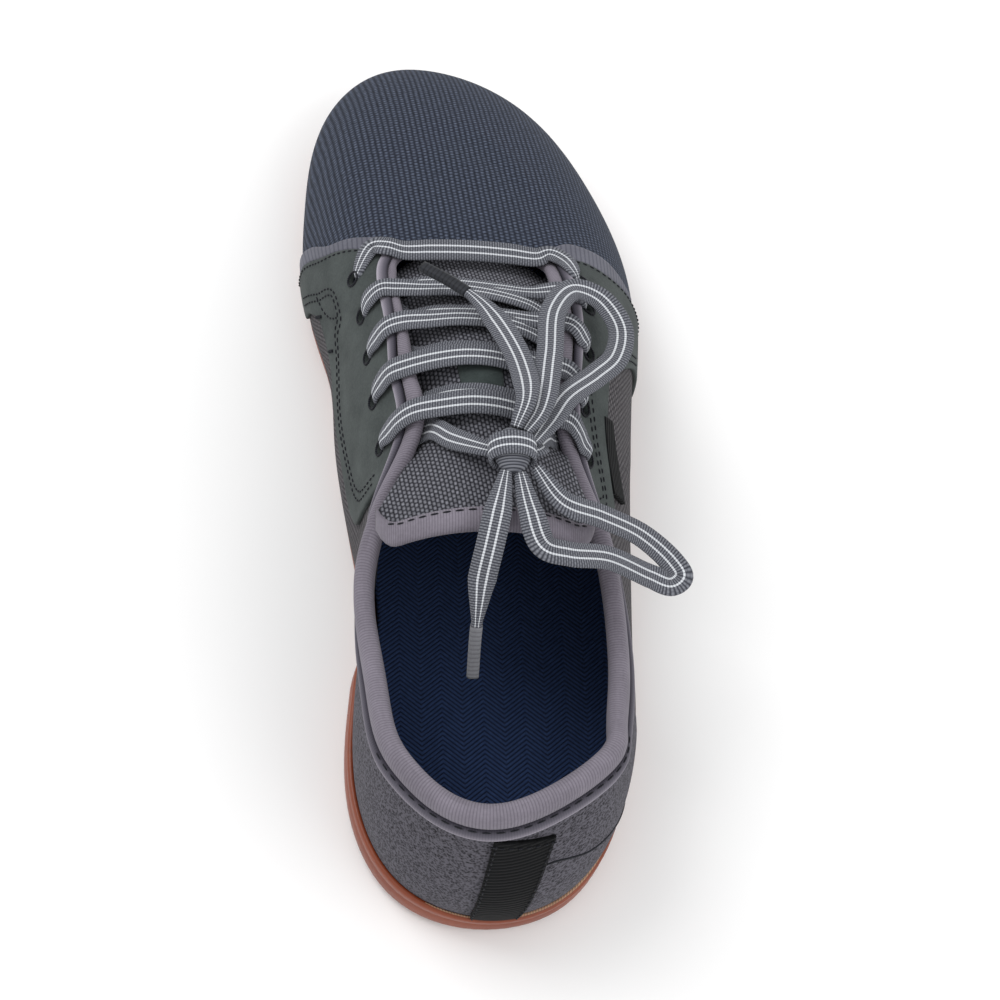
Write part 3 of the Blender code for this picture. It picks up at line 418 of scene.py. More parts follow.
def skin(around, v, off):
    """Point at a height v on the upper, moved along its outward direction."""
    around, v, off = np.broadcast_arrays(np.asarray(around, float), v, off)
    return profile(around, v) + normal(around, v) * off[..., None]


def climb(around):
    """Curve lengths from the opening edge down, one table per place."""
    v = np.linspace(1.0, 0.0, 41)
    line = profile(np.asarray(around, float)[..., None], v)
    length = np.linalg.norm(np.diff(line, axis=-2), axis=-1)
    start = np.zeros(length.shape[:-1] + (1,))
    return v, np.concatenate([start, np.cumsum(length, axis=-1)], axis=-1)


def v_from_edge(around, distance):
    """Height v of the point that lies a distance below the opening edge."""
    around, distance = np.broadcast_arrays(np.asarray(around, float), distance)
    v, table = climb(around)
    flat = [np.interp(d, row, v) for d, row in zip(distance.ravel(), table.reshape(-1, len(v)))]
    return np.array(flat).reshape(around.shape)


def from_heel(around):
    """Place as a share from the back of the heel, negative on the inner side."""
    return np.mod(np.asarray(around, float) + 0.5, 1.0) - 0.5


def roll_half(around):
    """Half height and half thickness of the rolled edge at a place."""
    return lookup(BINDING, from_heel(around))


def roll_depth(around):
    """Height that the rolled edge takes from the upper; it fades at the front of the throat."""
    a = from_heel(around)
    reach = ROLL_MARGIN + ROLL_FADE
    front = np.minimum(BINDING[-1][0] + reach - a, a - BINDING[0][0] + reach)
    return 2 * roll_half(around)[0] * np.clip(front / ROLL_FADE, 0.0, 1.0)


def depth_down(around, down):
    """Distance below the opening edge from a share of the way from the rolled edge to the sole."""
    around, down = np.broadcast_arrays(np.asarray(around, float), down)
    total = climb(around)[1][..., -1]
    top = roll_depth(around) + 2 * GAP
    return top + down * (total - top)


def v_down(around, down):
    return v_from_edge(around, depth_down(around, down))


def unrolled(around, depth):
    """Pattern coordinates in metres: flat follows the toe lengthwise, wrap follows the height."""
    row = shape_at(around)
    away = unit(row[..., :2] - row[..., 2:4])
    flat = row[..., 2:4] + away * depth[..., None]
    wrap = np.stack(np.broadcast_arrays(np.asarray(around) * PERIMETER, depth), axis=-1)
    return {"flat": flat, "wrap": wrap}


# Shared shader effects.
def new_group(name, inputs, outputs):
    """Empty shader node group; inputs are (name, type, default), outputs are (name, type)."""
    tree = bpy.data.node_groups.new(name, "ShaderNodeTree")
    for label, kind, value in inputs:
        socket = tree.interface.new_socket(label, in_out="INPUT", socket_type=kind)
        if value is not None:
            socket.default_value = value
    for label, kind in outputs:
        tree.interface.new_socket(label, in_out="OUTPUT", socket_type=kind)
    return tree, tree.nodes.new("NodeGroupInput"), tree.nodes.new("NodeGroupOutput")


def calc(tree, operation, *values):
    """Math node on sockets or numbers; returns its output."""
    node = tree.nodes.new("ShaderNodeMath")
    node.operation = operation
    for socket, value in zip(node.inputs, values):
        if isinstance(value, (int, float)):
            socket.default_value = value
        else:
            tree.links.new(value, socket)
    return node.outputs[0]


def noise(tree, vector, scale, detail=2.0, roughness=0.5):
    node = tree.nodes.new("ShaderNodeTexNoise")
    tree.links.new(vector, node.inputs["Vector"])
    if isinstance(scale, (int, float)):
        node.inputs["Scale"].default_value = scale
    else:
        tree.links.new(scale, node.inputs["Scale"])
    node.inputs["Detail"].default_value = detail
    node.inputs["Roughness"].default_value = roughness
    return node.outputs["Fac"]


def knit_group():
    """Rows of short raised loops: ribs along Y, one rib per Across, one loop per Along."""
    tree, gin, gout = new_group("knit_loops", [
        ("Vector", "NodeSocketVector", None),
        ("Across", "NodeSocketFloat", 0.0019),
        ("Along", "NodeSocketFloat", 0.0013),
        ("Stagger", "NodeSocketFloat", 0.5),
        ("Wander", "NodeSocketFloat", 0.15),
    ], [("Loops", "NodeSocketFloat"), ("Ribs", "NodeSocketFloat"), ("Speck", "NodeSocketFloat")])
    split = tree.nodes.new("ShaderNodeSeparateXYZ")
    tree.links.new(gin.outputs["Vector"], split.inputs[0])
    wave = noise(tree, gin.outputs["Vector"], 160.0, 2.0)
    shift = calc(tree, "MULTIPLY", calc(tree, "SUBTRACT", wave, 0.5), gin.outputs["Wander"])
    across = calc(tree, "ADD", calc(tree, "DIVIDE", split.outputs[0], gin.outputs["Across"]), shift)
    along = calc(tree, "ADD", calc(tree, "DIVIDE", split.outputs[1], gin.outputs["Along"]), shift)
    step = calc(tree, "MULTIPLY", calc(tree, "FLOOR", across), gin.outputs["Stagger"])
    along = calc(tree, "ADD", along, step)
    rib = calc(tree, "ABSOLUTE", calc(tree, "SINE", calc(tree, "MULTIPLY", across, math.pi)))
    loop = calc(tree, "ABSOLUTE", calc(tree, "SINE", calc(tree, "MULTIPLY", along, math.pi)))
    loops = calc(tree, "MULTIPLY", calc(tree, "POWER", rib, 0.8), calc(tree, "POWER", loop, 0.7))
    tree.links.new(loops, gout.inputs["Loops"])
    tree.links.new(rib, gout.inputs["Ribs"])
    tree.links.new(noise(tree, gin.outputs["Vector"], 900.0, 3.0, 0.6), gout.inputs["Speck"])
    return tree


def nap_group():
    """Soft mottling and short fibres of suede, felt and worn cloth."""
    tree, gin, gout = new_group("nap", [
        ("Vector", "NodeSocketVector", None),
        ("Patch", "NodeSocketFloat", 90.0),
        ("Fibre", "NodeSocketFloat", 1500.0),
    ], [("Shade", "NodeSocketFloat"), ("Height", "NodeSocketFloat")])
    patch = noise(tree, gin.outputs["Vector"], gin.outputs["Patch"], 4.0, 0.6)
    fibre = noise(tree, gin.outputs["Vector"], gin.outputs["Fibre"], 3.0, 0.7)
    tree.links.new(calc(tree, "ADD", calc(tree, "MULTIPLY", patch, 0.6),
                        calc(tree, "MULTIPLY", fibre, 0.4)), gout.inputs["Shade"])
    tree.links.new(fibre, gout.inputs["Height"])
    return tree


KNIT = knit_group()
NAP = nap_group()


class Finish:
    """A Principled material with a few helpers for its nodes."""

    def __init__(self, name, roughness, sheen=0.0, coat=0.0, shine=0.15):
        self.mat = bpy.data.materials.new(name)
        self.mat.use_nodes = True
        self.tree = self.mat.node_tree
        self.shader = self.tree.nodes["Principled BSDF"]
        self.shader.inputs["Roughness"].default_value = roughness
        self.shader.inputs["Specular IOR Level"].default_value = shine
        self.shader.inputs["Sheen Weight"].default_value = sheen
        self.shader.inputs["Sheen Roughness"].default_value = 0.5
        self.shader.inputs["Coat Weight"].default_value = coat

    def coords(self, uv=None, scale=(1, 1, 1), turn=0.0):
        """Object coordinates, or one of the piece's own pattern maps, turned and scaled."""
        if uv:
            node = self.tree.nodes.new("ShaderNodeUVMap")
            node.uv_map = uv
            source = node.outputs[0]
        else:
            source = self.tree.nodes.new("ShaderNodeTexCoord").outputs["Object"]
        mapping = self.tree.nodes.new("ShaderNodeMapping")
        mapping.inputs["Scale"].default_value = scale
        mapping.inputs["Rotation"].default_value = (0.0, 0.0, turn)
        self.tree.links.new(source, mapping.inputs["Vector"])
        return mapping.outputs[0]

    def calc(self, operation, *values):
        return calc(self.tree, operation, *values)

    def split(self, vector):
        """Parts of a vector along its axes."""
        node = self.tree.nodes.new("ShaderNodeSeparateXYZ")
        self.tree.links.new(vector, node.inputs[0])
        return node.outputs

    def group(self, tree, vector, **values):
        node = self.tree.nodes.new("ShaderNodeGroup")
        node.node_tree = tree
        self.tree.links.new(vector, node.inputs["Vector"])
        for label, value in values.items():
            node.inputs[label].default_value = value
        return node.outputs

    def ramp(self, fac, *stops):
        """Colour from a value: stops are (place, colour) with colours in sRGB 0 to 255."""
        node = self.tree.nodes.new("ShaderNodeValToRGB")
        band = node.color_ramp.elements
        while len(band) < len(stops):
            band.new(0.5)
        for element, (place, colour) in zip(band, stops):
            element.position = place
            element.color = (*paint(colour), 1.0)
        self.tree.links.new(fac, node.inputs[0])
        return node.outputs[0]

    def mix(self, fac, a, b, mode="MIX"):
        node = self.tree.nodes.new("ShaderNodeMix")
        node.data_type = "RGBA"
        node.blend_type = mode
        for value, socket in ((fac, node.inputs[0]), (a, node.inputs[6]), (b, node.inputs[7])):
            if isinstance(value, (int, float)):
                socket.default_value = value
            elif isinstance(value, tuple):
                socket.default_value = (*paint(value), 1.0)
            else:
                self.tree.links.new(value, socket)
        return node.outputs[2]

    def colour(self, socket):
        self.tree.links.new(socket, self.shader.inputs["Base Color"])

    def bump(self, *layers):
        """Bump from (height socket, distance in metres, strength) layers, coarse first."""
        last = None
        for height, distance, strength in layers:
            node = self.tree.nodes.new("ShaderNodeBump")
            node.inputs["Distance"].default_value = distance
            node.inputs["Strength"].default_value = strength
            self.tree.links.new(height, node.inputs["Height"])
            if last is not None:
                self.tree.links.new(last, node.inputs["Normal"])
            last = node.outputs[0]
        self.tree.links.new(last, self.shader.inputs["Normal"])


def paint(colour):
    """Linear colour from sRGB values 0 to 255."""
    c = np.array(colour, float) / 255
    return tuple(np.where(c <= 0.04045, c / 12.92, ((c + 0.055) / 1.055) ** 2.4))


def knit_finish(name, uv, across, along, dark, mid, light, turn=0.0, depth=0.0004):
    """Knitted mesh: dark ground, loops in two lighter tones, fine speckle."""
    f = Finish(name, 0.9, sheen=0.03)
    at = f.coords(uv, turn=turn)
    knit = f.group(KNIT, at, Across=across, Along=along, Stagger=0.5, Wander=0.18)
    loops = f.ramp(knit["Loops"], (0.10, dark), (0.55, mid), (0.95, light))
    speck = f.ramp(knit["Speck"], (0.35, (88, 88, 88)), (0.65, (172, 172, 172)))
    f.colour(f.mix(0.65, loops, speck, "OVERLAY"))
    f.bump((knit["Loops"], depth, 0.8), (knit["Speck"], depth * 0.25, 0.4))
    return f.mat


def heather_finish(name, uv, dark, light, scale):
    """Fine melange knit of dark and light yarn."""
    f = Finish(name, 0.9, sheen=0.03)
    at = f.coords(uv)
    cells = f.tree.nodes.new("ShaderNodeTexVoronoi")
    cells.inputs["Scale"].default_value = scale
    f.tree.links.new(at, cells.inputs["Vector"])
    blot = noise(f.tree, at, scale * 0.5, 3.0, 0.6)
    mask = f.calc("ADD", f.calc("MULTIPLY", cells.outputs["Distance"], 0.6),
                  f.calc("MULTIPLY", blot, 0.6))
    f.colour(f.ramp(mask, (0.36, dark), (0.72, light)))
    f.bump((mask, 0.0003, 0.6))
    return f.mat


def ribbed_finish(name, uv, pitch, dark, light, depth, sheen=0.08, rough=0.8):
    """Rib tape: fine ridges across the run of the piece."""
    f = Finish(name, rough, sheen=sheen)
    at = f.coords(uv)
    knit = f.group(KNIT, at, Across=pitch, Along=0.0009, Stagger=0.5, Wander=0.10)
    nap = f.group(NAP, at, Patch=60.0, Fibre=1200.0)
    base = f.ramp(knit["Ribs"], (0.05, dark), (0.75, light))
    tone = f.ramp(nap["Shade"], (0.35, (112, 112, 112)), (0.65, (146, 146, 146)))
    f.colour(f.mix(0.8, base, tone, "OVERLAY"))
    f.bump((knit["Ribs"], depth, 0.8), (knit["Speck"], depth * 0.3, 0.4))
    return f.mat


def suede_finish(name, dark, light):
    f = Finish(name, 0.95, sheen=0.05)
    at = f.coords()
    nap = f.group(NAP, at, Patch=110.0, Fibre=1400.0)
    f.colour(f.ramp(nap["Shade"], (0.30, dark), (0.70, light)))
    f.bump((nap["Height"], 0.0002, 0.5))
    return f.mat


def lace_finish():
    """Flat woven lace: weft ribs, grey melange, two white stripes near the middle."""
    f = Finish("lace_weave", 0.88, sheen=0.05)
    at = f.coords("run")
    part = f.split(at)
    knit = f.group(KNIT, at, Across=0.00075, Along=0.0011, Stagger=0.5, Wander=0.12)
    weave = f.calc("ADD", f.calc("MULTIPLY", knit["Ribs"], 0.65),
                   f.calc("MULTIPLY", knit["Loops"], 0.35))
    base = f.ramp(weave, (0.15, (58, 60, 67)), (0.60, (92, 94, 102)), (0.95, (124, 126, 133)))
    off = f.calc("ABSOLUTE", part[1])
    near = f.calc("ABSOLUTE", f.calc("SUBTRACT", off, 0.00115))
    stripe = f.calc("LESS_THAN", near, 0.00030)
    beads = f.ramp(knit["Ribs"], (0.0, (150, 154, 162)), (0.6, (214, 217, 222)))
    f.colour(f.mix(stripe, base, beads))
    height = f.calc("ADD", weave, f.calc("MULTIPLY", stripe, 0.6))
    f.bump((height, 0.0003, 0.8), (knit["Speck"], 0.0001, 0.4))
    return f.mat


def welt_finish():
    """Smooth tape, with painted shade on its side in the groove beside the roll and a painted highlight
    along its outer edge.
    """
    f = Finish("collar_welt_tape", 0.8, sheen=0.05)
    at = f.coords("run")
    part = f.split(at)
    off = f.calc("ABSOLUTE", f.calc("SUBTRACT", part[1], 0.004))
    knit = f.group(KNIT, at, Across=0.0007, Along=0.0009, Stagger=0.5, Wander=0.10)
    off = f.calc("ADD", off, f.calc("MULTIPLY", knit["Ribs"], 0.0002))
    # Colour by place across the tape: painted shade towards the groove beside the roll, painted
    # highlight towards the outer edge.
    share = f.calc("MULTIPLY", off, 250.0)
    f.colour(f.ramp(share, (0.16, (46, 44, 53)), (0.46, (92, 89, 99)), (0.66, (130, 125, 136)),
                    (0.85, (166, 161, 172))))
    f.bump((knit["Ribs"], 0.00008, 0.6), (knit["Speck"], 0.00005, 0.4))
    return f.mat


def gum_finish():
    f = Finish("gum_rubber_sole", 0.45, coat=0.08, shine=0.45)
    at = f.coords()
    fine = noise(f.tree, at, 700.0, 3.0, 0.6)
    broad = noise(f.tree, at, 35.0, 3.0, 0.5)
    base = f.ramp(broad, (0.3, (146, 66, 34)), (0.7, (168, 80, 42)))
    tone = f.ramp(fine, (0.3, (118, 118, 118)), (0.7, (138, 138, 138)))
    f.colour(f.mix(0.6, base, tone, "OVERLAY"))
    f.bump((fine, 0.0002, 0.25))
    return f.mat


def herringbone_finish():
    """Footbed cloth: short slanted strokes that turn over in bands across the length."""
    f = Finish("footbed_mesh", 0.85, sheen=0.1)
    at = f.coords()
    part = f.split(at)
    band = f.calc("PINGPONG", part[0], 0.0060)
    slant = f.calc("ADD", part[1], f.calc("MULTIPLY", band, 0.8))
    stroke = f.calc("ABSOLUTE", f.calc("SINE", f.calc("MULTIPLY", slant, math.pi / 0.0014)))
    speck = noise(f.tree, at, 900.0, 3.0, 0.6)
    base = f.ramp(stroke, (0.15, (22, 32, 58)), (0.8, (58, 80, 126)))
    tone = f.ramp(speck, (0.3, (105, 105, 105)), (0.7, (150, 150, 150)))
    f.colour(f.mix(0.6, base, tone, "OVERLAY"))
    f.bump((stroke, 0.0003, 0.7))
    return f.mat


TOE_MESH = knit_finish("toe_mesh", "flat", 0.00165, 0.0013,
                       (42, 47, 60), (59, 65, 80), (95, 104, 123), turn=-0.10, depth=0.00018)
QUARTER_MESH = knit_finish("quarter_mesh", "wrap_turned", 0.0012, 0.0019,
                           (52, 50, 54), (88, 85, 89), (124, 120, 123), depth=0.0003)
TONGUE_MESH = knit_finish("tongue_mesh", "flat", 0.00105, 0.0016,
                          (38, 39, 45), (100, 101, 109), (142, 142, 151), turn=-0.12, depth=0.00025)
HEEL_KNIT = heather_finish("heel_melange", "wrap", (22, 21, 25), (93, 91, 99), 1600.0)
LINING = heather_finish("lining", "wrap", (15, 15, 18), (36, 36, 42), 900.0)
SUEDE = suede_finish("eyestay_suede", (52, 57, 57), (77, 83, 82))
KEEPER_SUEDE = suede_finish("keeper_suede", (42, 49, 49), (64, 72, 71))
COLLAR = ribbed_finish("collar_rib", "run", 0.0008, (134, 128, 141), (162, 155, 168), 0.00010)
TRIM = ribbed_finish("vamp_trim_tape", "flat", 0.0016, (100, 100, 114), (128, 129, 142), 0.00008)
WELT_TAPE = welt_finish()
WEBBING = ribbed_finish("heel_webbing", "wrap_turned", 0.0013, (3, 4, 6), (11, 13, 17), 0.00022,
                        sheen=0.02)
LACE = lace_finish()
GUM = gum_finish()
FOOTBED = herringbone_finish()
DARK_THREAD = ribbed_finish("dark_thread", None, 0.0004, (24, 25, 30), (44, 46, 54), 0.00005)
CREAM = ribbed_finish("sole_line", None, 0.0008, (170, 140, 110), (206, 180, 148), 0.00008)
TIP = ribbed_finish("lace_tip", "run", 0.0014, (132, 132, 139), (158, 159, 165), 0.00005, rough=0.4)
# Painted shade: a darker copy of the lace tip's colours, used for the tip of the front lace end.
SHADED_TIP = ribbed_finish("shaded_lace_tip", "run", 0.0014, (30, 32, 38), (52, 55, 62), 0.00005, rough=0.45)


# Mesh helpers.
def add_object(name, data):
    ob = bpy.data.objects.new(name, data)
    bpy.context.scene.collection.objects.link(ob)
    return ob


def add_cutter(name, bm):
    """Turns a finished bmesh into an object to cut with."""
    mesh = bpy.data.meshes.new(name)
    bm.to_mesh(mesh)
    bm.free()
    return add_object(name, mesh)


def bake(ob):
    """Keeps what a piece's modifiers make as its plain mesh."""
    old = ob.data
    shaped = ob.evaluated_get(bpy.context.evaluated_depsgraph_get())
    ob.data = bpy.data.meshes.new_from_object(shaped)
    ob.modifiers.clear()
    bpy.data.meshes.remove(old)


def piece(name, verts, faces, mats, uvs=None, face_mats=None, stands_for=(), slot=None):
    """Closed smooth mesh that rides on the shoe; uvs hold one value per face corner."""
    mesh = bpy.data.meshes.new(name)
    mesh.from_pydata([tuple(p) for p in verts], [], [tuple(int(k) for k in f) for f in faces])
    for label, values in (uvs or {}).items():
        layer = mesh.uv_layers.new(name=label)
        layer.data.foreach_set("uv", np.asarray(values, np.float32).ravel())
    for mat in mats:
        mesh.materials.append(mat)
    if face_mats is not None:
        mesh.polygons.foreach_set("material_index", np.asarray(face_mats, np.int32))
    mesh.shade_smooth()
    mesh.validate()
    ob = add_object(name, mesh)
    settle(ob, stands_for, slot)
    return ob


READY = []


def settle(ob, stands_for=(), slot=None):
    """Keeps a finished piece for the last step, where it is tied to the frame."""
    READY.append((ob, stands_for, slot))


def corner_uvs(uvs, corners):
    """Pattern maps for face corners given as (row, column) pairs."""
    rows = np.array([c[0] for c in corners])
    cols = np.array([c[1] for c in corners])
    maps = {label: np.asarray(values)[rows, cols] for label, values in uvs.items()}
    if "wrap" in maps:
        maps["wrap_turned"] = maps["wrap"][:, ::-1]
    return maps


def shell(name, top, low, uvs, mats, loop=False, low_mat=0, face_mat=None, **how):
    """Closed shell between two point grids; with loop the last column joins the first."""
    rows, cols = top.shape[:2]
    base = rows * cols
    verts = np.concatenate([top.reshape(-1, 3), low.reshape(-1, 3)])
    span = cols if loop else cols - 1
    faces = []
    corners = []
    marks = []

    def add(face, mark):
        faces.append([i * cols + j % cols + (base if under else 0) for i, j, under in face])
        corners.extend((i, j) for i, j, under in face)
        marks.append(mark)

    for i in range(rows - 1):
        for j in range(span):
            mark = face_mat(i, j) if face_mat else 0
            add(((i, j, 0), (i, j + 1, 0), (i + 1, j + 1, 0), (i + 1, j, 0)), mark)
            add(((i, j, 1), (i + 1, j, 1), (i + 1, j + 1, 1), (i, j + 1, 1)), low_mat)
    for j in range(span):
        i = rows - 1
        add(((0, j, 0), (0, j, 1), (0, j + 1, 1), (0, j + 1, 0)), low_mat)
        add(((i, j, 0), (i, j + 1, 0), (i, j + 1, 1), (i, j, 1)), low_mat)
    if not loop:
        for i in range(rows - 1):
            j = cols - 1
            add(((i, 0, 0), (i + 1, 0, 0), (i + 1, 0, 1), (i, 0, 1)), 0)
            add(((i, j, 0), (i, j, 1), (i + 1, j, 1), (i + 1, j, 0)), 0)
    ob = piece(name, verts, faces, mats, corner_uvs(uvs, corners), marks, **how)
    outwards(ob)
    return ob


def outwards(ob):
    """Turns the faces of a closed piece outwards."""
    bm = bmesh.new()
    bm.from_mesh(ob.data)
    bmesh.ops.recalc_face_normals(bm, faces=bm.faces)
    if bm.calc_volume(signed=True) < 0:
        bmesh.ops.reverse_faces(bm, faces=bm.faces)
    bm.to_mesh(ob.data)
    bm.free()


def swept(name, rings, across, mats, closed=False, **how):
    """Body swept through rings of points. The run map is (length along, place across)."""
    rings = np.asarray(rings)
    count, around = rings.shape[:2]
    centre = rings.mean(axis=1)
    step = np.linalg.norm(np.diff(centre, axis=0, append=centre[:1]), axis=1)
    along = np.concatenate(([0.0], np.cumsum(step)))
    faces = []
    uv = []
    for i in range(count if closed else count - 1):
        n = (i + 1) % count
        for j in range(around):
            k = (j + 1) % around
            faces.append((i * around + j, i * around + k, n * around + k, n * around + j))
            uv += [(along[i], across[j]), (along[i], across[j + 1]),
                   (along[i + 1], across[j + 1]), (along[i + 1], across[j])]
    if not closed:
        for i, order in ((0, range(around - 1, -1, -1)), (count - 1, range(around))):
            faces.append([i * around + j for j in order])
            uv += [(along[i], across[j]) for j in order]
    ob = piece(name, rings.reshape(-1, 3), faces, mats, {"run": uv}, **how)
    outwards(ob)
    return ob


# Sole: cup floor, rim that follows the upper, flared side wall, tread with flex grooves.
def base_top(y):
    return SOLE_BASE + spring(y)


def tread(y):
    return spring(y) + arch(y)


def ring_at(around, out, height):
    """Level ring on the plan curve; height is a function of the length along the sole."""
    tuck = TUCK * (1 - ledge(shape_at(around))) if out > 0.001 else 0.0
    plan = outline(around, np.full(len(around), out) - tuck)
    return np.stack([plan[:, 0] - CENTRE[0], plan[:, 1] - CENTRE[1], height(plan[:, 1])], axis=1)


def rim_ring(around, height, out):
    """Ring at a height over the cup floor that leans with the upper; it falls towards the waist."""
    v = np.linspace(0.0, 0.35, 36)
    z = profile(around[:, None], v)[..., 2]
    high = height * (1.0 - RIM_FALL * past_heel(shape_at(around), RIM_START, RIM_SPAN))
    at = np.array([np.interp(h, row - row[0], v) for h, row in zip(high, z)])
    level = skin(around, at, 0.0)
    shown = 1.06 * ledge(shape_at(around))[:, None] - 0.06
    level[:, :2] += (outline(around, 1.0) - outline(around, 0.0)) * out * shown
    return level


def plate(name, rings, top_height, bottom_height, steps, mats, **how):
    """Body between a top and a bottom filling, its side wall through the rings."""
    verts = [tuple(p) for p in np.concatenate(rings)]
    count = len(rings[0])
    faces = []
    for i in range(len(rings) - 1):
        for j in range(count):
            k = (j + 1) % count
            faces.append((i * count + j, i * count + k, (i + 1) * count + k, (i + 1) * count + j))

    def fill(ring, height):
        half = count // 2
        rungs = [[ring[0]]]
        for i in range(1, half):
            a = np.array(verts[ring[i]])
            b = np.array(verts[ring[count - i]])
            row = [ring[i]]
            for s in range(1, steps):
                p = a + (b - a) * s / steps
                p[2] = height(p[1], s / steps)
                row.append(len(verts))
                verts.append(tuple(p))
            rungs.append(row + [ring[count - i]])
        rungs.append([ring[half]])
        for low, high in zip(rungs[:-1], rungs[1:]):
            if len(low) == 1:
                faces.extend((low[0], high[s], high[s + 1]) for s in range(steps))
            elif len(high) == 1:
                faces.extend((low[s], high[0], low[s + 1]) for s in range(steps))
            else:
                faces.extend((low[s], high[s], high[s + 1], low[s + 1]) for s in range(steps))

    fill(list(range(count)), top_height)
    last = (len(rings) - 1) * count
    fill(list(range(last, last + count)), bottom_height)
    ob = piece(name, verts, faces, mats, **how)
    outwards(ob)
    return ob


SOLE_POINTS = 240
SOLE_AROUND = np.arange(SOLE_POINTS) / SOLE_POINTS
# Rings of the rim: share of its height, metres more, distance outwards.
RIM_RINGS = ((0.5, 0.0, 0.0004), (1.0, -0.0004, 0.0004), (1.0, 0.0, 0.0008),
             (1.0, 0.0, 0.0016), (1.0, -0.0005, 0.0021), (0.55, 0.0, 0.0025))
# Rings of the side wall: height, distance outside the flange.
SOLE_WALL = ((0.0078, -0.0004), (0.0070, 0.0000), (0.0052, 0.0002), (0.0034, 0.0004), (0.0020, 0.0000))
sole_rings = [ring_at(SOLE_AROUND, 0.0006, base_top)]
sole_rings += [rim_ring(SOLE_AROUND, RIM_HEIGHT * share + more, out) for share, more, out in RIM_RINGS]
sole_rings += [ring_at(SOLE_AROUND, FLANGE + out, lambda y, z=z: z + spring(y)) for z, out in SOLE_WALL]
sole_rings += [
    ring_at(SOLE_AROUND, FLANGE - 0.0010, lambda y: 0.0007 + tread(y)),
    ring_at(SOLE_AROUND, FLANGE - 0.0024, lambda y: 0.0001 + tread(y)),
    ring_at(SOLE_AROUND, 0.0, tread),
]
sole = plate(
    "gum_sole", sole_rings,
    lambda y, s: base_top(y + CENTRE[1]), lambda y, s: tread(y + CENTRE[1]),
    24, [GUM], stands_for=("outsole",), slot="gum_rubber",
)

# Flex grooves across the tread.
GROOVES = (0.090, 0.150, 0.210, 0.550, 0.605, 0.660, 0.715, 0.775)


def cut_grooves(ob, shares, width, depth, slant):
    bm = bmesh.new()
    for share in shares:
        middle = share * LENGTH - CENTRE[1]
        high = float(tread(share * LENGTH)) + depth
        box = bmesh.ops.create_cube(bm, size=1.0)["verts"]
        bmesh.ops.scale(bm, verts=box, vec=(2 * BALL_WIDTH, width, high + 0.01))
        for vert in box:
            vert.co.z += (high - 0.01) / 2
            vert.co.y += middle - slant * vert.co.x / BALL_WIDTH
    subtract(ob, add_cutter("groove_cutter", bm))


def subtract(ob, cutter):
    """Cuts a piece with a cutter and removes the cutter."""
    mod = ob.modifiers.new("cut", "BOOLEAN")
    mod.operation = "DIFFERENCE"
    mod.solver = "EXACT"
    mod.object = cutter
    bake(ob)
    bpy.data.objects.remove(cutter, do_unlink=True)


cut_grooves(sole, GROOVES, 0.0022, 0.0013, 0.010)

# Thin line on the rim round the heel, tapered at both ends.
SOLE_LINE = np.arange(-7, 22)
line_ring = rim_ring(SOLE_AROUND, RIM_HEIGHT - 0.0001, 0.0009)[SOLE_LINE]
line_out = np.pad(outline(SOLE_AROUND, 1.0) - outline(SOLE_AROUND, 0.0), ((0, 0), (0, 1)))[SOLE_LINE]
line_thin = np.sin(np.linspace(0.12, math.pi - 0.12, len(SOLE_LINE))) ** 0.5
line_up = np.broadcast_to(UP, line_ring.shape)
line_rings = hoops(line_ring, line_out, line_up, 0.0005 * line_thin, 0.0004 * line_thin, 8)
swept("sole_line", line_rings, np.linspace(0, 0.003, 9), [CREAM], slot="gum_rubber")

# Insole: a loose footbed, raised a little at its border.
IN = -(WALL + 0.0012)
# Rings of its border: distance outwards from IN, height over the cup floor.
FOOTBED_WALL = ((-0.0016, INSOLE_THICK + 0.0010), (-0.0004, INSOLE_THICK + 0.0012),
                (0.0, INSOLE_THICK + 0.0006), (0.0, INSOLE_THICK * 0.3), (-0.0004, 0.0))
insole_rings = [ring_at(SOLE_AROUND, IN + out, lambda y, z=z: base_top(y) + GAP + z)
                for out, z in FOOTBED_WALL]
plate(
    "footbed", insole_rings,
    lambda y, s: base_top(y + CENTRE[1]) + GAP + INSOLE_THICK + 0.0010 * (2 * s - 1) ** 4,
    lambda y, s: base_top(y + CENTRE[1]) + GAP,
    20, [FOOTBED], stands_for=("insole",), slot="navy_footbed",
)

# Upper: one hollow shell from the sole to the opening, with soft creases behind the toes.
UPPER_COLS = 360
UPPER_ROWS = 56
TOE_SPAN = (0.316, 0.655)
# Creases: around, down, length along around, width in down, depth in metres.
CREASES = (
    (0.455, 0.34, 0.070, 0.050, 0.00035),
    (0.520, 0.30, 0.060, 0.060, 0.00030),
    (0.700, 0.62, 0.030, 0.060, 0.00045),
    (0.735, 0.66, 0.028, 0.070, 0.00045),
    (0.770, 0.60, 0.026, 0.060, 0.00035),
    (0.225, 0.55, 0.026, 0.070, 0.00040),
)


def creases(around, down):
    sink = np.zeros(np.broadcast(around, down).shape)
    for a, d, wide, tall, deep in CREASES:
        u = (np.mod(around - a + 0.5, 1.0) - 0.5) / wide
        w = (down - d - 0.10 * np.sin(u * 2.2)) / tall
        sink += deep * np.exp(-u * u) * (np.exp(-w * w) - 0.5 * np.exp(-(w - 1.6) ** 2))
    return sink


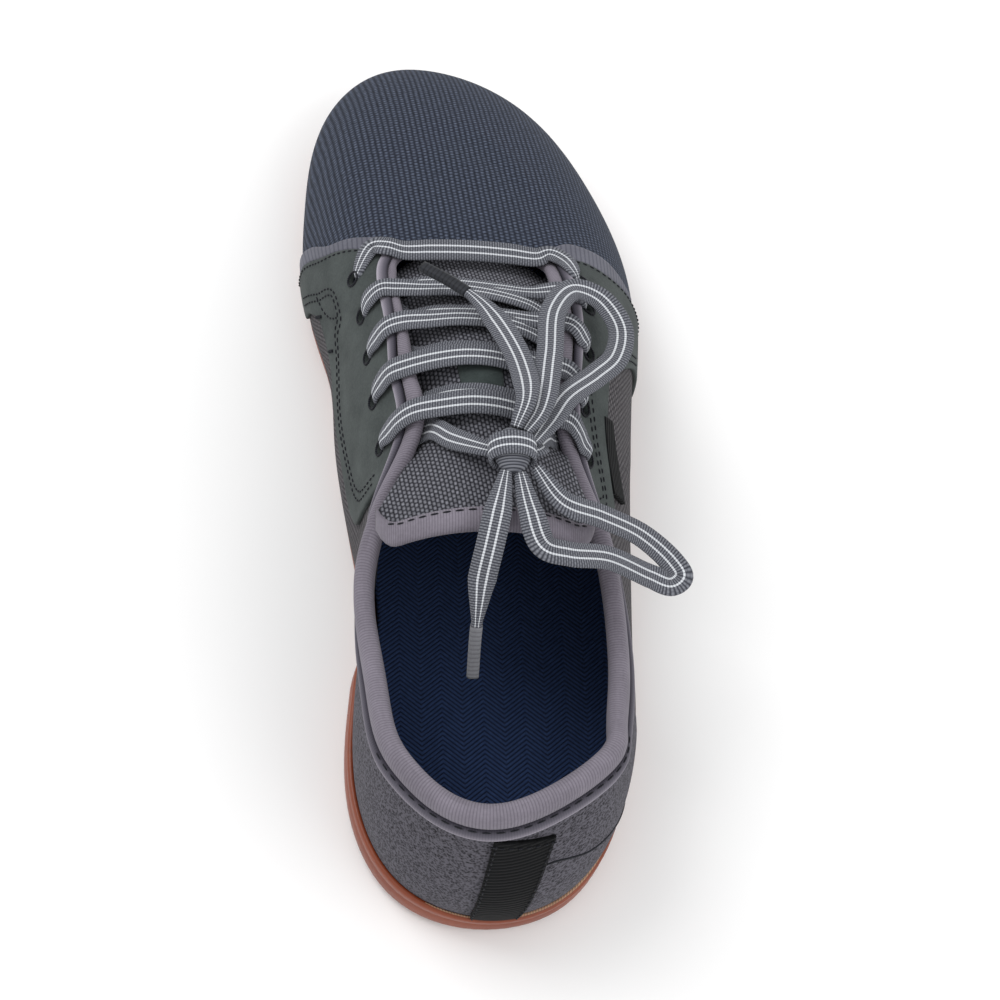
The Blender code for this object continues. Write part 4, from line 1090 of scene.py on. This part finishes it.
upper_around = np.arange(UPPER_COLS + 1) / UPPER_COLS
rim = 0.45 * roll_depth(upper_around) + 0.0003
total = climb(upper_around)[1][:, -1]
spread = np.linspace(0.0, 1.0, UPPER_ROWS)[:, None]
upper_depth = total * (1 - spread) + rim * spread
upper_u = np.broadcast_to(upper_around, upper_depth.shape)
upper_v = v_from_edge(upper_u, upper_depth)
fall = (upper_depth - rim) / (total - rim)
outside = skin(upper_u, upper_v, -creases(upper_u, fall))
inside = skin(upper_u, upper_v, -WALL)
inside[0, :, 2] = outside[0, :, 2]
upper = shell(
    "knit_upper", outside[:, :-1], inside[:, :-1], unrolled(upper_u, upper_depth),
    [TOE_MESH, QUARTER_MESH, LINING], loop=True, low_mat=2,
    face_mat=lambda i, j: 0 if TOE_SPAN[0] < upper_around[j] < TOE_SPAN[1] else 1,
    stands_for=("upper",), slot="slate_knit",
)


def patch(name, around, down, high, low, mats, **how):
    """Overlay on a grid of places on the upper."""
    depth = depth_down(around, down)
    v = v_from_edge(around, depth)
    return shell(name, skin(around, v, high), skin(around, v, low), unrolled(around, depth), mats, **how)


EDGE_ROUND = 0.0012
EDGE_DROP = 0.0004


def panel(name, front, back, rows, cols, high, mats, **how):
    """Overlay between two borders, each given by its around and down shares; soft outer edge."""
    front = open_spline(front, rows)
    back = open_spline(back, rows)
    across = np.linspace(0.0, 1.0, cols)[None, :]
    across = 0.5 - 0.5 * np.cos(across * np.pi) * (0.75 + 0.25 * np.abs(np.cos(across * np.pi)))
    around = front[:, :1] + (back[:, :1] - front[:, :1]) * across
    down = np.clip(front[:, 1:] + (back[:, 1:] - front[:, 1:]) * across, 0.0, 0.90)
    wide = np.abs(back[:, :1] - front[:, :1]) * PERIMETER
    near = np.clip(np.minimum(across, 1 - across) * wide / EDGE_ROUND, 0.0, 1.0)
    lift = high - EDGE_DROP * (1 - np.sqrt(near * (2 - near)))
    return patch(name, around, down, lift, LOW, mats, **how)


LOW = 0.0001
HIGH = 0.0014
TRIM_HIGH = 0.0010
stay_inner = panel("eyestay_inner", EYESTAY_INNER_FRONT, EYESTAY_INNER_BACK, 90, 48, HIGH, [SUEDE],
                   stands_for=("eyestay_medial",), slot="grey_suede")
stay_outer = panel("eyestay_outer", EYESTAY_OUTER_FRONT, EYESTAY_OUTER_BACK, 90, 48, HIGH, [SUEDE],
                   stands_for=("eyestay_lateral",), slot="grey_suede")
panel("toe_trim_inner", TRIM_INNER_NEAR, TRIM_INNER_FAR, 48, 12, TRIM_HIGH, [TRIM],
      stands_for=("vamp_trim_medial",), slot="lavender_trim")
panel("toe_trim_outer", TRIM_OUTER_NEAR, TRIM_OUTER_FAR, 48, 12, TRIM_HIGH, [TRIM],
      stands_for=("vamp_trim_lateral",), slot="lavender_trim")


# Rolled edge by distance from the heel: how far it reaches to the inside, how much thicker it is.
PADDING = ((0.00, -0.0036, 0.0000), (0.06, -0.0038, 0.0000), (0.12, -0.0036, 0.0001),
           (0.19, -0.0028, 0.0003), (0.25, -0.0018, 0.0003))


def roll_rings(around, points):
    half_high, half_thick = roll_half(around)
    v = v_from_edge(around, half_high)
    inner, more = lookup(PADDING, np.abs(from_heel(around)))
    half_thick = half_thick + more
    centre = skin(around, v, inner + half_thick)
    out = normal(around, v)
    rise = unit(profile(around, v + 0.01) - profile(around, v - 0.01))
    return hoops(centre, rise, out, half_high, half_thick, points, (0.85, 0.85))


roll_around = np.linspace(BINDING[0][0], BINDING[-1][0], 420)
collar = swept("collar_roll", roll_rings(roll_around, 20), np.linspace(0, 0.02, 21), [COLLAR],
               stands_for=("collar_binding",), slot="lavender_trim")


def tube_on_skin(name, around, depth, off, wide, high, points, mats, **how):
    """Thin strand that lies on the upper along a line of places; wide and high are half sizes."""
    v = v_from_edge(around, depth)
    centre = skin(around, v, off)
    out = normal(around, v)
    run = unit(np.gradient(centre, axis=0))
    side = unit(np.cross(run, out))
    rings = hoops(centre, side, out, wide, high, points)
    return swept(name, rings, np.linspace(0, 0.008, points + 1), mats, **how)


# Welt by distance from the heel: depth, half width, half height, rise of its middle over the upper.
WELT = ((0.00, 0.0088, 0.0027, 0.0018, 0.0010), (0.06, 0.0082, 0.0026, 0.0018, 0.0010),
        (0.12, 0.0074, 0.0022, 0.0015, 0.0009), (0.17, 0.0068, 0.0019, 0.0012, 0.0008),
        (0.25, 0.0064, 0.0017, 0.0007, 0.0014))
welt_around = np.linspace(-0.425, 0.380, 500)
welt_depth, welt_wide, welt_high, welt_rise = lookup(WELT, np.abs(welt_around))
tube_on_skin("collar_welt", welt_around, welt_depth, welt_rise, welt_wide, welt_high, 14, [WELT_TAPE],
             slot="lavender_trim")

# Heel counter patch, heel tab of webbing and the bare side tag.
counter_top = np.linspace(-0.140, 0.105, 90)
counter_low = np.interp(counter_top, (-0.140, -0.130, -0.112, -0.096, 0.060, 0.078, 0.094, 0.105),
                        (0.02, 0.42, 0.78, 0.965, 0.965, 0.78, 0.42, 0.02))
rows_share = np.linspace(0.0, 1.0, 40)[:, None]
counter_down = 0.005 + (np.minimum(counter_low, 0.90) - 0.005)[None, :] * rows_share
counter_u = np.broadcast_to(counter_top, counter_down.shape)
patch("heel_counter", counter_u, counter_down, 0.0005, LOW, [HEEL_KNIT], slot="slate_knit")

TAB_COLS = 24
tab_u, tab_down = np.meshgrid(np.linspace(-HEEL_TAB_HALF, HEEL_TAB_HALF, TAB_COLS),
                              np.linspace(0.10, 0.86, 60))
tab_side = tab_u / HEEL_TAB_HALF
tab_u = (tab_u + np.interp(tab_down, (0.10, 0.80), HEEL_TAB_SHIFT)) / PERIMETER
tab_down = tab_down + (0.045 * tab_side + 0.02) * (0.90 - tab_down) / 0.80
patch("heel_tab_web", tab_u, tab_down, 0.0015, 0.0004, [WEBBING],
      stands_for=("heel_tab",), slot="dark_webbing")

# Fine seam that leaves the heel tab on the outer side.
HEEL_SEAM = ((0.0125, 0.365), (0.0160, 0.375), (0.0220, 0.413), (0.0300, 0.465), (0.0390, 0.500),
             (0.0480, 0.540), (0.0560, 0.590), (0.0680, 0.690), (0.0790, 0.820))
seam_u, seam_down = open_spline(HEEL_SEAM, 80).T
tube_on_skin("heel_seam", seam_u, depth_down(seam_u, seam_down), 0.0005, 0.0004, 0.0003, 8,
             [DARK_THREAD], slot="slate_knit")

tag_top, tag_low = (np.linspace(*ends, 24) for ends in zip(*TAG_DOWN))
tag_down = tag_top + (tag_low - tag_top) * np.linspace(0.0, 1.0, 24)[:, None]
tag_u = np.broadcast_to(np.linspace(*TAG_AROUND, 24), tag_down.shape)
patch("side_tag_web", tag_u, tag_down, 0.0017, 0.0003, [WEBBING],
      stands_for=("side_tag",), slot="dark_webbing")

# Tongue: side flaps follow the inside of the upper, the middle is a low crown between them.
FLAP = (0.0090, 0.0068, 0.0045, 0.0022)
ACROSS = np.linspace(-1.0, 1.0, 41)
side_inner = np.linspace(0.560, 0.820, 131)
side_outer = np.linspace(0.392, 0.190, 131)
edge_inner = shape_at(side_inner)[:, 3]
edge_outer = shape_at(side_outer)[:, 3]


def throat_place(share):
    """Places on the inner and the outer throat edge at the same length."""
    y = (THROAT_FRONT + (THROAT_BACK - THROAT_FRONT) * np.asarray(share, float)) * LENGTH
    return np.interp(-y, -edge_inner, side_inner), np.interp(-y, -edge_outer, side_outer)


def tongue_middle(share, drop, across):
    """Points across the throat between its two edges, raised in the middle."""
    crown, = lookup(TONGUE_ROWS, share)
    inner, outer = throat_place(share)
    a = skin(inner, v_from_edge(inner, 0.0), -drop)
    b = skin(outer, v_from_edge(outer, 0.0), -drop)
    q = np.asarray(across)[..., None]
    point = a + (b - a) * (q + 1) / 2
    point[..., 2] += crown * (1 - q[..., 0] ** 2)
    point[..., 1] += 0.0050 * (1 - share) ** 3 * (1 - q[..., 0] ** 2)
    return point


def tongue_grid(drop, count):
    rows = []
    for share in np.linspace(0.0, 1.0, count):
        inner, outer = throat_place(share)
        left = [skin(inner, v_from_edge(inner, d), -drop) for d in FLAP]
        right = [skin(outer, v_from_edge(outer, d), -drop) for d in FLAP]
        rows.append(np.array([*left, *tongue_middle(share, drop, ACROSS), *right[::-1]]))
    front = rows[0].copy()
    flat = np.zeros(len(FLAP))
    fill = np.concatenate((flat, 1 - ACROSS ** 4, flat))
    front[:, 1] += 0.0008 + 0.0050 * fill
    front[:, 2] -= 0.0020 * fill
    rows.insert(0, front)
    last = rows[-1]
    width = np.linspace(-1.0, 1.0, len(last))
    side = len(FLAP)
    level = (last[side] + last[-1 - side]) / 2
    for back in np.linspace(0.0, TONGUE_NECK[-1][0], 15)[1:]:
        rise, half, crown, lean = lookup(TONGUE_NECK, back)
        share = min(back / TONGUE_NECK[0][0], 1.0)
        fade = back / TONGUE_NECK[-1][0]
        row = last.copy()
        row[:, 0] = level[0] - lean + width * half
        corner = np.clip((np.abs(width) - 0.78) / 0.22, 0.0, 1.0)
        row[:, 1] = last[:, 1] * (1 - fade) + level[1] * fade - back + 0.0075 * fade * corner ** 2.5
        row[:, 2] = level[2] + rise + crown * (1 - width ** 2) - 0.0025 * fade * width ** 4
        rows.append(last * (1 - share) + row * share + (row - last) * (0, 1, 0) * (1 - share))
    return np.array(rows)


tongue_top = tongue_grid(TONGUE_DROP, 60)
tongue_low = tongue_grid(TONGUE_DROP + TONGUE_THICK, 60)
tongue = shell("tongue_pad", tongue_top, tongue_low, {"flat": tongue_top[..., :2]},
               [TONGUE_MESH, LINING], low_mat=1, stands_for=("tongue",), slot="slate_knit")
edge_middle = (tongue_top[-1] + tongue_low[-1]) / 2
edge_middle += (0.0, -TONGUE_EDGE * 0.4, 0.0003)
edge_back, edge_up = (np.broadcast_to(way, edge_middle.shape) for way in ((0.0, 1.0, 0.0), UP))
edge_rings = hoops(edge_middle, edge_back, edge_up, TONGUE_EDGE * 1.5, TONGUE_THICK / 2 + 0.0011, 16)
swept("tongue_edge", edge_rings, np.linspace(0, 0.016, 17), [COLLAR],
      stands_for=("tongue_binding",), slot="lavender_trim")


def on_tongue(share, across, above):
    point = tongue_middle(share, TONGUE_DROP, across)
    point[..., 2] += above
    return point


def tongue_up(share, across):
    """Outward direction of the tongue's top."""
    side = on_tongue(share, across + 0.05, 0.0) - on_tongue(share, across - 0.05, 0.0)
    back = on_tongue(share + 0.03, across, 0.0) - on_tongue(share - 0.03, across, 0.0)
    return unit(np.cross(back, side))


def over_tongue(share, across, lift):
    """Point over the tongue and the direction that a lace's flat side has there."""
    up = tongue_up(share, across)
    return on_tongue(share, across, 0.0) + up * lift, up


KEEPER_ACROSS = (-0.51, 0.21)
KEEPER_ALONG = (0.640, 0.860)
keeper_across = np.linspace(*KEEPER_ACROSS, 16)
keeper_rows = np.linspace(*KEEPER_ALONG, 18)
keeper_high = np.array([on_tongue(r, keeper_across, 0.0010) for r in keeper_rows])
keeper_low = np.array([on_tongue(r, keeper_across, 0.0001) for r in keeper_rows])
shell("lace_keeper_patch", keeper_high, keeper_low, {"flat": keeper_high[..., :2]}, [KEEPER_SUEDE],
      stands_for=("lace_keeper",), slot="grey_suede")


# Laces: one ribbon runs from the knot down through the eyelets, over the front bar and back up.
RIBBON_POINTS = 14
RIBBON_SQUARE = (0.55, 0.75)


def ribbon(name, line, up, width, thick, mats, **how):
    """Flat woven ribbon with rounded edges along a centre line."""
    run = unit(np.gradient(line, axis=0))
    side = unit(np.cross(run, up))
    top = np.cross(side, run)
    rings = hoops(line, side, top, width / 2, thick / 2, RIBBON_POINTS, RIBBON_SQUARE)
    spin = np.arange(RIBBON_POINTS + 1) % RIBBON_POINTS / RIBBON_POINTS * 2 * np.pi
    across = squared(np.cos(spin), RIBBON_SQUARE[0]) * LACE_WIDTH / 2
    return swept(name, rings, across, mats, **how)


def blend(path, count):
    """Centre line, flat side's direction and width from (point, direction, width) rows."""
    rows = np.array([np.concatenate([p, u * 0.004, [w]]) for p, u, w in path])
    both = open_spline(rows, count)
    return both[:, :3], unit(both[:, 3:6]), both[:, 6]


def eyelet(row, outer):
    return EYELETS[row][2:4] if outer else EYELETS[row][:2]


EYELET_PLACES = [eyelet(row, outer) for row in range(len(EYELETS)) for outer in (False, True)]
PINCH = 0.0036
FULL = 0.0073
# Where each strand leaves the throat edge, shares of its length: from the inner, the outer side.
LEAVE = ((0.100, 0.360), (0.330, 0.550), (0.610, 0.760), (0.850, 0.970))


def into_eyelet(place, around, down):
    """Lace over the rolled edge, along the eyestay and down into its eyelet."""
    half_thick = float(roll_half(place)[1])
    brink_v = v_from_edge(place, 0.0010)
    brink = skin(place, brink_v, 2 * half_thick - 0.7 * WALL + 0.0010)
    hole_v = v_down(around, down)
    out = normal(around, hole_v)
    inward = unit(brink - skin(around, hole_v, 0.0))
    path = [(brink, unit(normal(place, brink_v) + UP * 0.5), FULL)]
    for share, off in ((0.30, 0.0032), (0.62, 0.0026)):
        mid = place + (around - place) * share
        depth = 0.0010 + (float(depth_down(around, down)) - 0.0010) * share
        mid_v = v_from_edge(mid, depth)
        path.append((skin(mid, mid_v, off), normal(mid, mid_v), FULL))
    return path + [
        (skin(around, hole_v, HIGH + 0.0010) + inward * 0.0028, out, PINCH * 1.35),
        (skin(around, hole_v, 0.0004) + inward * 0.0009, unit(out * 0.4 - inward), PINCH),
        (skin(around, hole_v, -WALL - 0.0008) + inward * 0.0012, out, PINCH * 1.2),
    ]


def from_under(leave, outer):
    """Lace that comes out from under the throat edge."""
    near = throat_place(leave)[1 if outer else 0]
    up = normal(near, v_from_edge(near, 0.002))
    deep = skin(near, v_from_edge(near, 0.0060), -WALL - 0.0012)
    lip = skin(near, v_from_edge(near, 0.0), -WALL - 0.0012)
    return [(deep, up, FULL * 0.85), (lip, up, FULL * 0.95)]


def strand(row, from_outer, lift):
    """From under one side at this row, over the tongue, into the next eyelet across."""
    leave = LEAVE[row][1 if from_outer else 0]
    arrive = EYELETS[row + 1][4 if from_outer else 5] - LACE_SAG
    far = throat_place(arrive)[0 if from_outer else 1]
    sign = -1.0 if from_outer else 1.0
    path = from_under(leave, from_outer)
    for step, above in ((0.18, lift), (0.42, lift), (0.64, lift + 0.0006), (0.84, lift + 0.0022)):
        share = leave + (arrive - leave) * math.sin(math.pi / 2 * step) ** 1.2
        point, up = over_tongue(share, sign * (2 * step - 1), above)
        path.append((point, up, FULL))
    return path + into_eyelet(far, *eyelet(row + 1, not from_outer))


def feeder(outer):
    """From under the last eyelet to the knot."""
    leave = EYELETS[4][5 if outer else 4] + 0.01
    sign = 1.0 if outer else -1.0
    path = from_under(leave, outer)
    for share, across, lift in ((1.02, 0.78, 0.0034), (1.07, 0.52, 0.0056)):
        point, up = over_tongue(share, sign * across, lift)
        path.append((point, up, FULL * 0.85))
    path.append((KNOT_AT + np.array((sign * 0.0075, 0.0030, -0.0040)), UP, FULL * 0.7))
    path.append((KNOT_AT + np.array((sign * 0.0010, 0.0, -0.0015)), UP, FULL * 0.5))
    return path


KNOT_AT = np.array((KNOT[0] * BALL_WIDTH, KNOT[1] * LENGTH, KNOT[2] * INSTEP_HEIGHT))
bar_inner, bar_outer = throat_place(BAR_SHARE)
bar_start = into_eyelet(bar_inner, *eyelet(0, False))
bar_end = into_eyelet(bar_outer, *eyelet(0, True))
bar = bar_start[::-1]
for share in (0.2, 0.4, 0.6, 0.8):
    point = bar_start[0][0] + (bar_end[0][0] - bar_start[0][0]) * share
    bar.append((point + UP * 0.0016 * math.sin(math.pi * share), UP, FULL))
bar += bar_end


def chain(outer):
    """Half of the lace from the front eyelet on one side up to the knot."""
    path = []
    for row in range(4):
        path += strand(row, outer, 0.0026 if outer else 0.0014)
        outer = not outer
    return path + feeder(outer)


lace_path = chain(False)[::-1] + bar + chain(True)
line, up, width = blend(lace_path, 900)
ribbon("lace_run", line, up, width, LACE_THICK, [LACE],
       stands_for=("lace_bar", "lace_cross_1", "lace_cross_2", "lace_cross_3", "lace_cross_4"),
       slot="grey_lace")


HOLE = 0.0019


def hole_cutter():
    """Round punches through eyestay and upper at every eyelet."""
    bm = bmesh.new()
    for around, down in EYELET_PLACES:
        v = v_down(around, down)
        turn = Vector(normal(around, v)).to_track_quat("Z", "Y").to_matrix().to_4x4()
        place = Matrix.Translation(Vector(skin(around, v, 0.0)))
        bmesh.ops.create_cone(bm, cap_ends=True, segments=20, radius1=HOLE, radius2=HOLE,
                              depth=0.009, matrix=place @ turn)
    return add_cutter("punch", bm)


for layer in (stay_inner, stay_outer, upper):
    subtract(layer, hole_cutter())


# Bow: two loops, two ends with stiff tips, and the wrapped knot.
def route(rows, count):
    return open_spline(np.array(rows) * (BALL_WIDTH, LENGTH, INSTEP_HEIGHT), count)


def gathered(share):
    """Width of the lace, narrowed where the knot holds it."""
    return BOW_WIDTH * (GATHERED + (1 - GATHERED) * np.clip(share, 0.0, 1.0))


for name, node, rows in (("bow_loop_front", "lace_loop_front", LOOP_FRONT),
                         ("bow_loop_side", "lace_loop_side", LOOP_SIDE)):
    line = route(rows, 150)
    share = np.linspace(0.0, 1.0, 150)
    width = gathered(np.minimum(1.0, np.minimum(share, 1 - share) / 0.12) ** 0.8)
    ob = ribbon(name, line, np.broadcast_to(UP, line.shape), width, BOW_THICK, [LACE],
                stands_for=(node,), slot="grey_lace")
# The front end's tip takes the copy of the tip colours with painted shade; the back end's tip has the
# plain tip colours.
for name, node, rows, tip_mat in (("bow_end_front", "lace_end_front", END_FRONT, SHADED_TIP),
                                  ("bow_end_back", "lace_end_back", END_BACK, TIP)):
    line = route(rows, 130)
    length = np.concatenate(([0.0], np.cumsum(np.linalg.norm(np.diff(line, axis=0), axis=1))))
    left = length[-1] - length
    wide = np.clip((left - TIP_LENGTH) / 0.012, 0.0, 1.0)
    width = TIP_WIDTH + (gathered(length / length[-1] / 0.2) - TIP_WIDTH) * wide
    thick = TIP_THICK + (BOW_THICK - TIP_THICK) * wide
    ob = ribbon(name, line, np.broadcast_to(UP, line.shape), width, thick, [LACE],
                stands_for=(node,), slot="grey_lace")
    tip_line = line[left < TIP_LENGTH - 0.001]
    tip_line[-1] += (tip_line[-1] - tip_line[-2]) * 0.5
    ribbon(name + "_tip", tip_line, np.broadcast_to(UP, tip_line.shape),
                      TIP_WIDTH + 0.0003, TIP_THICK + 0.0004, [tip_mat], slot="grey_lace")

# Knot: a wrapped band with the gathered lace inside it.
wrap_turn = np.linspace(0.0, 2 * np.pi, 60)
wrap = KNOT_AT + np.stack([np.cos(wrap_turn) * 0.0058, np.sin(wrap_turn) * 0.0008,
                           np.sin(wrap_turn) * 0.0036], axis=1)
wrap_up = unit(np.stack([np.cos(wrap_turn), 0 * wrap_turn, np.sin(wrap_turn) * 1.4], axis=1))
ribbon("knot_wrap", wrap, wrap_up, 0.0070, 0.0013, [LACE], slot="grey_lace")
lat = np.linspace(-0.5, 0.5, 15)[1:-1] * np.pi
lon = np.arange(24) / 24 * 2 * np.pi
knot_rings = KNOT_AT + np.stack([
    np.cos(lat)[:, None] * np.cos(lon) * 0.0050,
    np.sin(lat)[:, None] * (lon * 0 + 1) * 0.0068,
    np.cos(lat)[:, None] * np.sin(lon) * 0.0031,
], axis=-1)
swept("knot_core", knot_rings, np.linspace(0.002, 0.0035, 25), [LACE], stands_for=("lace_knot",),
      slot="grey_lace")


# Stitches: a node tree sets one small thread bead per step along a line.
def stitch_tree():
    tree = bpy.data.node_groups.new("stitch_row", "GeometryNodeTree")
    tree.is_modifier = True
    face = tree.interface
    face.new_socket("Geometry", in_out="INPUT", socket_type="NodeSocketGeometry")
    for label, value in (("Step", 0.0030), ("Length", 0.0022), ("Thickness", 0.0005)):
        face.new_socket(label, in_out="INPUT", socket_type="NodeSocketFloat").default_value = value
    face.new_socket("Thread", in_out="INPUT", socket_type="NodeSocketMaterial")
    face.new_socket("Geometry", in_out="OUTPUT", socket_type="NodeSocketGeometry")

    def node(kind, **values):
        made = tree.nodes.new(kind)
        for key, value in values.items():
            setattr(made, key, value)
        return made

    link = tree.links.new
    gin, gout = node("NodeGroupInput"), node("NodeGroupOutput")
    curve = node("GeometryNodeMeshToCurve")
    even = node("GeometryNodeResampleCurve", mode="LENGTH")
    ball = node("GeometryNodeMeshUVSphere")
    ball.inputs["Segments"].default_value = 8
    ball.inputs["Rings"].default_value = 5
    ball.inputs["Radius"].default_value = 0.5
    size = node("ShaderNodeCombineXYZ")
    shape = node("GeometryNodeTransform")
    place = node("GeometryNodeInstanceOnPoints")
    tangent = node("GeometryNodeInputTangent")
    upward = node("GeometryNodeInputNamedAttribute", data_type="FLOAT_VECTOR")
    upward.inputs["Name"].default_value = "up"
    axes = node("FunctionNodeAxesToRotation", primary_axis="X", secondary_axis="Z")
    real = node("GeometryNodeRealizeInstances")
    coat = node("GeometryNodeSetMaterial")
    smooth = node("GeometryNodeSetShadeSmooth")
    link(gin.outputs["Geometry"], curve.inputs[0])
    link(curve.outputs[0], even.inputs["Curve"])
    link(gin.outputs["Step"], even.inputs["Length"])
    link(even.outputs[0], place.inputs["Points"])
    link(gin.outputs["Length"], size.inputs[0])
    link(gin.outputs["Thickness"], size.inputs[1])
    link(gin.outputs["Thickness"], size.inputs[2])
    link(ball.outputs["Mesh"], shape.inputs["Geometry"])
    link(size.outputs[0], shape.inputs["Scale"])
    link(shape.outputs[0], place.inputs["Instance"])
    link(tangent.outputs[0], axes.inputs[0])
    link(upward.outputs[0], axes.inputs[1])
    link(axes.outputs[0], place.inputs["Rotation"])
    link(place.outputs[0], real.inputs[0])
    link(real.outputs[0], smooth.inputs[0])
    link(smooth.outputs[0], coat.inputs["Geometry"])
    link(gin.outputs["Thread"], coat.inputs["Material"])
    link(coat.outputs[0], gout.inputs[0])
    return tree


STITCH = stitch_tree()


def stitches(name, lines, step, length, thick, thread, slot="grey_suede"):
    """Beads of thread along several lines; each line is (points, outward directions)."""
    mesh = bpy.data.meshes.new(name)
    verts = []
    edges = []
    ups = []
    for points, outs in lines:
        start = len(verts)
        verts += [tuple(p) for p in points]
        ups += [tuple(o) for o in outs]
        edges += [(start + k, start + k + 1) for k in range(len(points) - 1)]
    mesh.from_pydata(verts, edges, [])
    attribute = mesh.attributes.new("up", "FLOAT_VECTOR", "POINT")
    attribute.data.foreach_set("vector", np.array(ups, np.float32).ravel())
    ob = add_object(name, mesh)
    mod = ob.modifiers.new("stitches", "NODES")
    mod.node_group = STITCH
    values = {"Step": step, "Length": length, "Thickness": thick, "Thread": thread}
    for socket in STITCH.interface.items_tree:
        if socket.in_out == "INPUT" and socket.name in values:
            mod[socket.identifier] = values[socket.name]
    bake(ob)
    settle(ob, (), slot)


def seam_line(around, down, off):
    """Points over the upper and their outward directions."""
    v = v_down(around, down)
    return skin(around, v, off), normal(around, v)


def shifted(rows, inward):
    """Border line moved sideways on the upper by a distance in metres."""
    path = open_spline(rows, 140)
    total = climb(path[:, 0])[1][:, -1]
    flat = np.stack([path[:, 0] * PERIMETER, path[:, 1] * total], axis=1)
    run = unit(np.gradient(flat, axis=0))
    flat += np.stack([-run[:, 1], run[:, 0]], axis=1) * inward
    return np.stack([flat[:, 0] / PERIMETER, np.clip(flat[:, 1] / total, 0.0, 0.9)], axis=1)


def border_stitch(rows, inward):
    return seam_line(*shifted(rows, inward)[4:-2].T, HIGH + 0.0001)


SEAM_INNER = ((0.8000, 0.120), (0.7950, 0.400), (0.7820, 0.500), (0.7630, 0.535), (0.7360, 0.550),
              (0.7100, 0.520), (0.6960, 0.410), (0.6860, 0.400), (0.6760, 0.600), (0.6680, 0.800))
SEAM_OUTER = ((0.1880, 0.060), (0.1980, 0.150), (0.2090, 0.150), (0.2290, 0.110), (0.2440, 0.075),
              (0.2560, 0.110), (0.2680, 0.300), (0.2800, 0.600))
BOX_INNER = ((0.6960, 0.460), (0.6930, 0.530), (0.6860, 0.580), (0.6780, 0.600))
TACK_INNER = (((0.6880, 0.620), (0.6860, 0.665)), ((0.7095, 0.600), (0.7080, 0.635)))
stay_lines = [border_stitch(rows, inward) for rows, inward in (
    (SEAM_INNER, 0.0), (SEAM_INNER, -0.0023), (SEAM_OUTER, 0.0), (SEAM_OUTER, 0.0023),
    (BOX_INNER, 0.0), (EYESTAY_INNER_FRONT, -0.0018), (EYESTAY_OUTER_FRONT, 0.0018),
)]
tack_lines = [seam_line(*(np.linspace(*ends, 20) for ends in zip(*tack)), HIGH + 0.0002)
              for tack in TACK_INNER]
stitches("bar_tacks", tack_lines, 0.0006, 0.0009, 0.0011, DARK_THREAD)
rims = []
for around, down in EYELET_PLACES:
    middle, out = seam_line(around, down, HIGH + 0.0001)
    side = unit(np.cross(out, UP))
    spin = np.linspace(0.0, 2 * np.pi, 33)[:, None]
    ring = middle + (HOLE + 0.0003) * (np.cos(spin) * side + np.sin(spin) * np.cross(out, side))
    rims.append((ring, np.broadcast_to(out, ring.shape)))
stitches("eyelet_rims", rims, 0.0006, 0.0009, 0.0008, DARK_THREAD)
stitches("eyestay_stitches", stay_lines, 0.0024, 0.0016, 0.0006, DARK_THREAD)

near_heel = np.abs(welt_around) < 0.062
seam_around = welt_around[near_heel]
seam_v = v_from_edge(seam_around, welt_depth[near_heel])
seam_out = normal(seam_around, seam_v)
seam_up = unit(profile(seam_around, seam_v + 0.01) - profile(seam_around, seam_v - 0.01))
groove = (skin(seam_around, seam_v, welt_rise[near_heel])
          + seam_up * (0.72 * welt_wide[near_heel])[:, None]
          + seam_out * (0.72 * welt_high[near_heel])[:, None])
stitches("collar_stitches", [(groove, seam_out + seam_up)], 0.0036, 0.0026, 0.0005,
         DARK_THREAD, "lavender_trim")

tongue_stitch = edge_middle[3:-3] + (0.0, 0.0018, 0.0022)
stitches("tongue_stitches", [(tongue_stitch, np.broadcast_to(UP, tongue_stitch.shape))],
         0.0034, 0.0024, 0.0006, DARK_THREAD, "lavender_trim")

tab_lines = [seam_line(tab_u[3:, k], tab_down[3:, k], 0.0016) for k in (1, TAB_COLS - 2)]
tab_lines.append(seam_line(tab_u[3], tab_down[3], 0.0016))
stitches("heel_tab_stitches", tab_lines, 0.0022, 0.0015, 0.0005, DARK_THREAD, "dark_webbing")

# Floor, soft lights and camera.
bpy.ops.mesh.primitive_plane_add(size=6.0, location=(0, 0, -0.0002))
floor = bpy.context.object
floor.name = "floor"
ground = Finish("pale_floor", 0.9)
ground.shader.inputs["Base Color"].default_value = (0.94, 0.94, 0.94, 1.0)
floor.data.materials.append(ground.mat)

world = bpy.data.worlds.new("studio")
bpy.context.scene.world = world
world.use_nodes = True
sky = world.node_tree.nodes["Background"]
sky.inputs["Color"].default_value = (1.0, 1.0, 1.0, 1.0)
sky.inputs["Strength"].default_value = 0.80


def soft_light(name, place, size, power):
    data = bpy.data.lights.new(name, "AREA")
    data.energy = power
    data.size = size
    ob = add_object(name, data)
    ob.location = place
    ob.rotation_euler = (-Vector(place)).to_track_quat("-Z", "Y").to_euler()


soft_light("key_light", (-0.7, 0.5, 1.3), 0.8, 9.0)
soft_light("fill_light", (0.9, -0.6, 1.1), 1.0, 5.5)

camera_data = bpy.data.cameras.new("camera")
camera_data.lens = CAMERA_LENS
camera_data.clip_start = 0.01
camera = add_object("camera", camera_data)
camera.location = CAMERA_PLACE
look = (Vector(CAMERA_AIM) - Vector(CAMERA_PLACE)).to_track_quat("-Z", "Y").to_matrix()
camera.rotation_euler = (look @ Matrix.Rotation(math.radians(CAMERA_ROLL), 3, "Z")).to_euler()
bpy.context.scene.camera = camera
bpy.context.scene.view_settings.view_transform = "Standard"

# Every piece rides on the shoe and stands for its node.
for ob, nodes, slot in READY:
    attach(ob, "root")
    if nodes:
        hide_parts(*nodes)
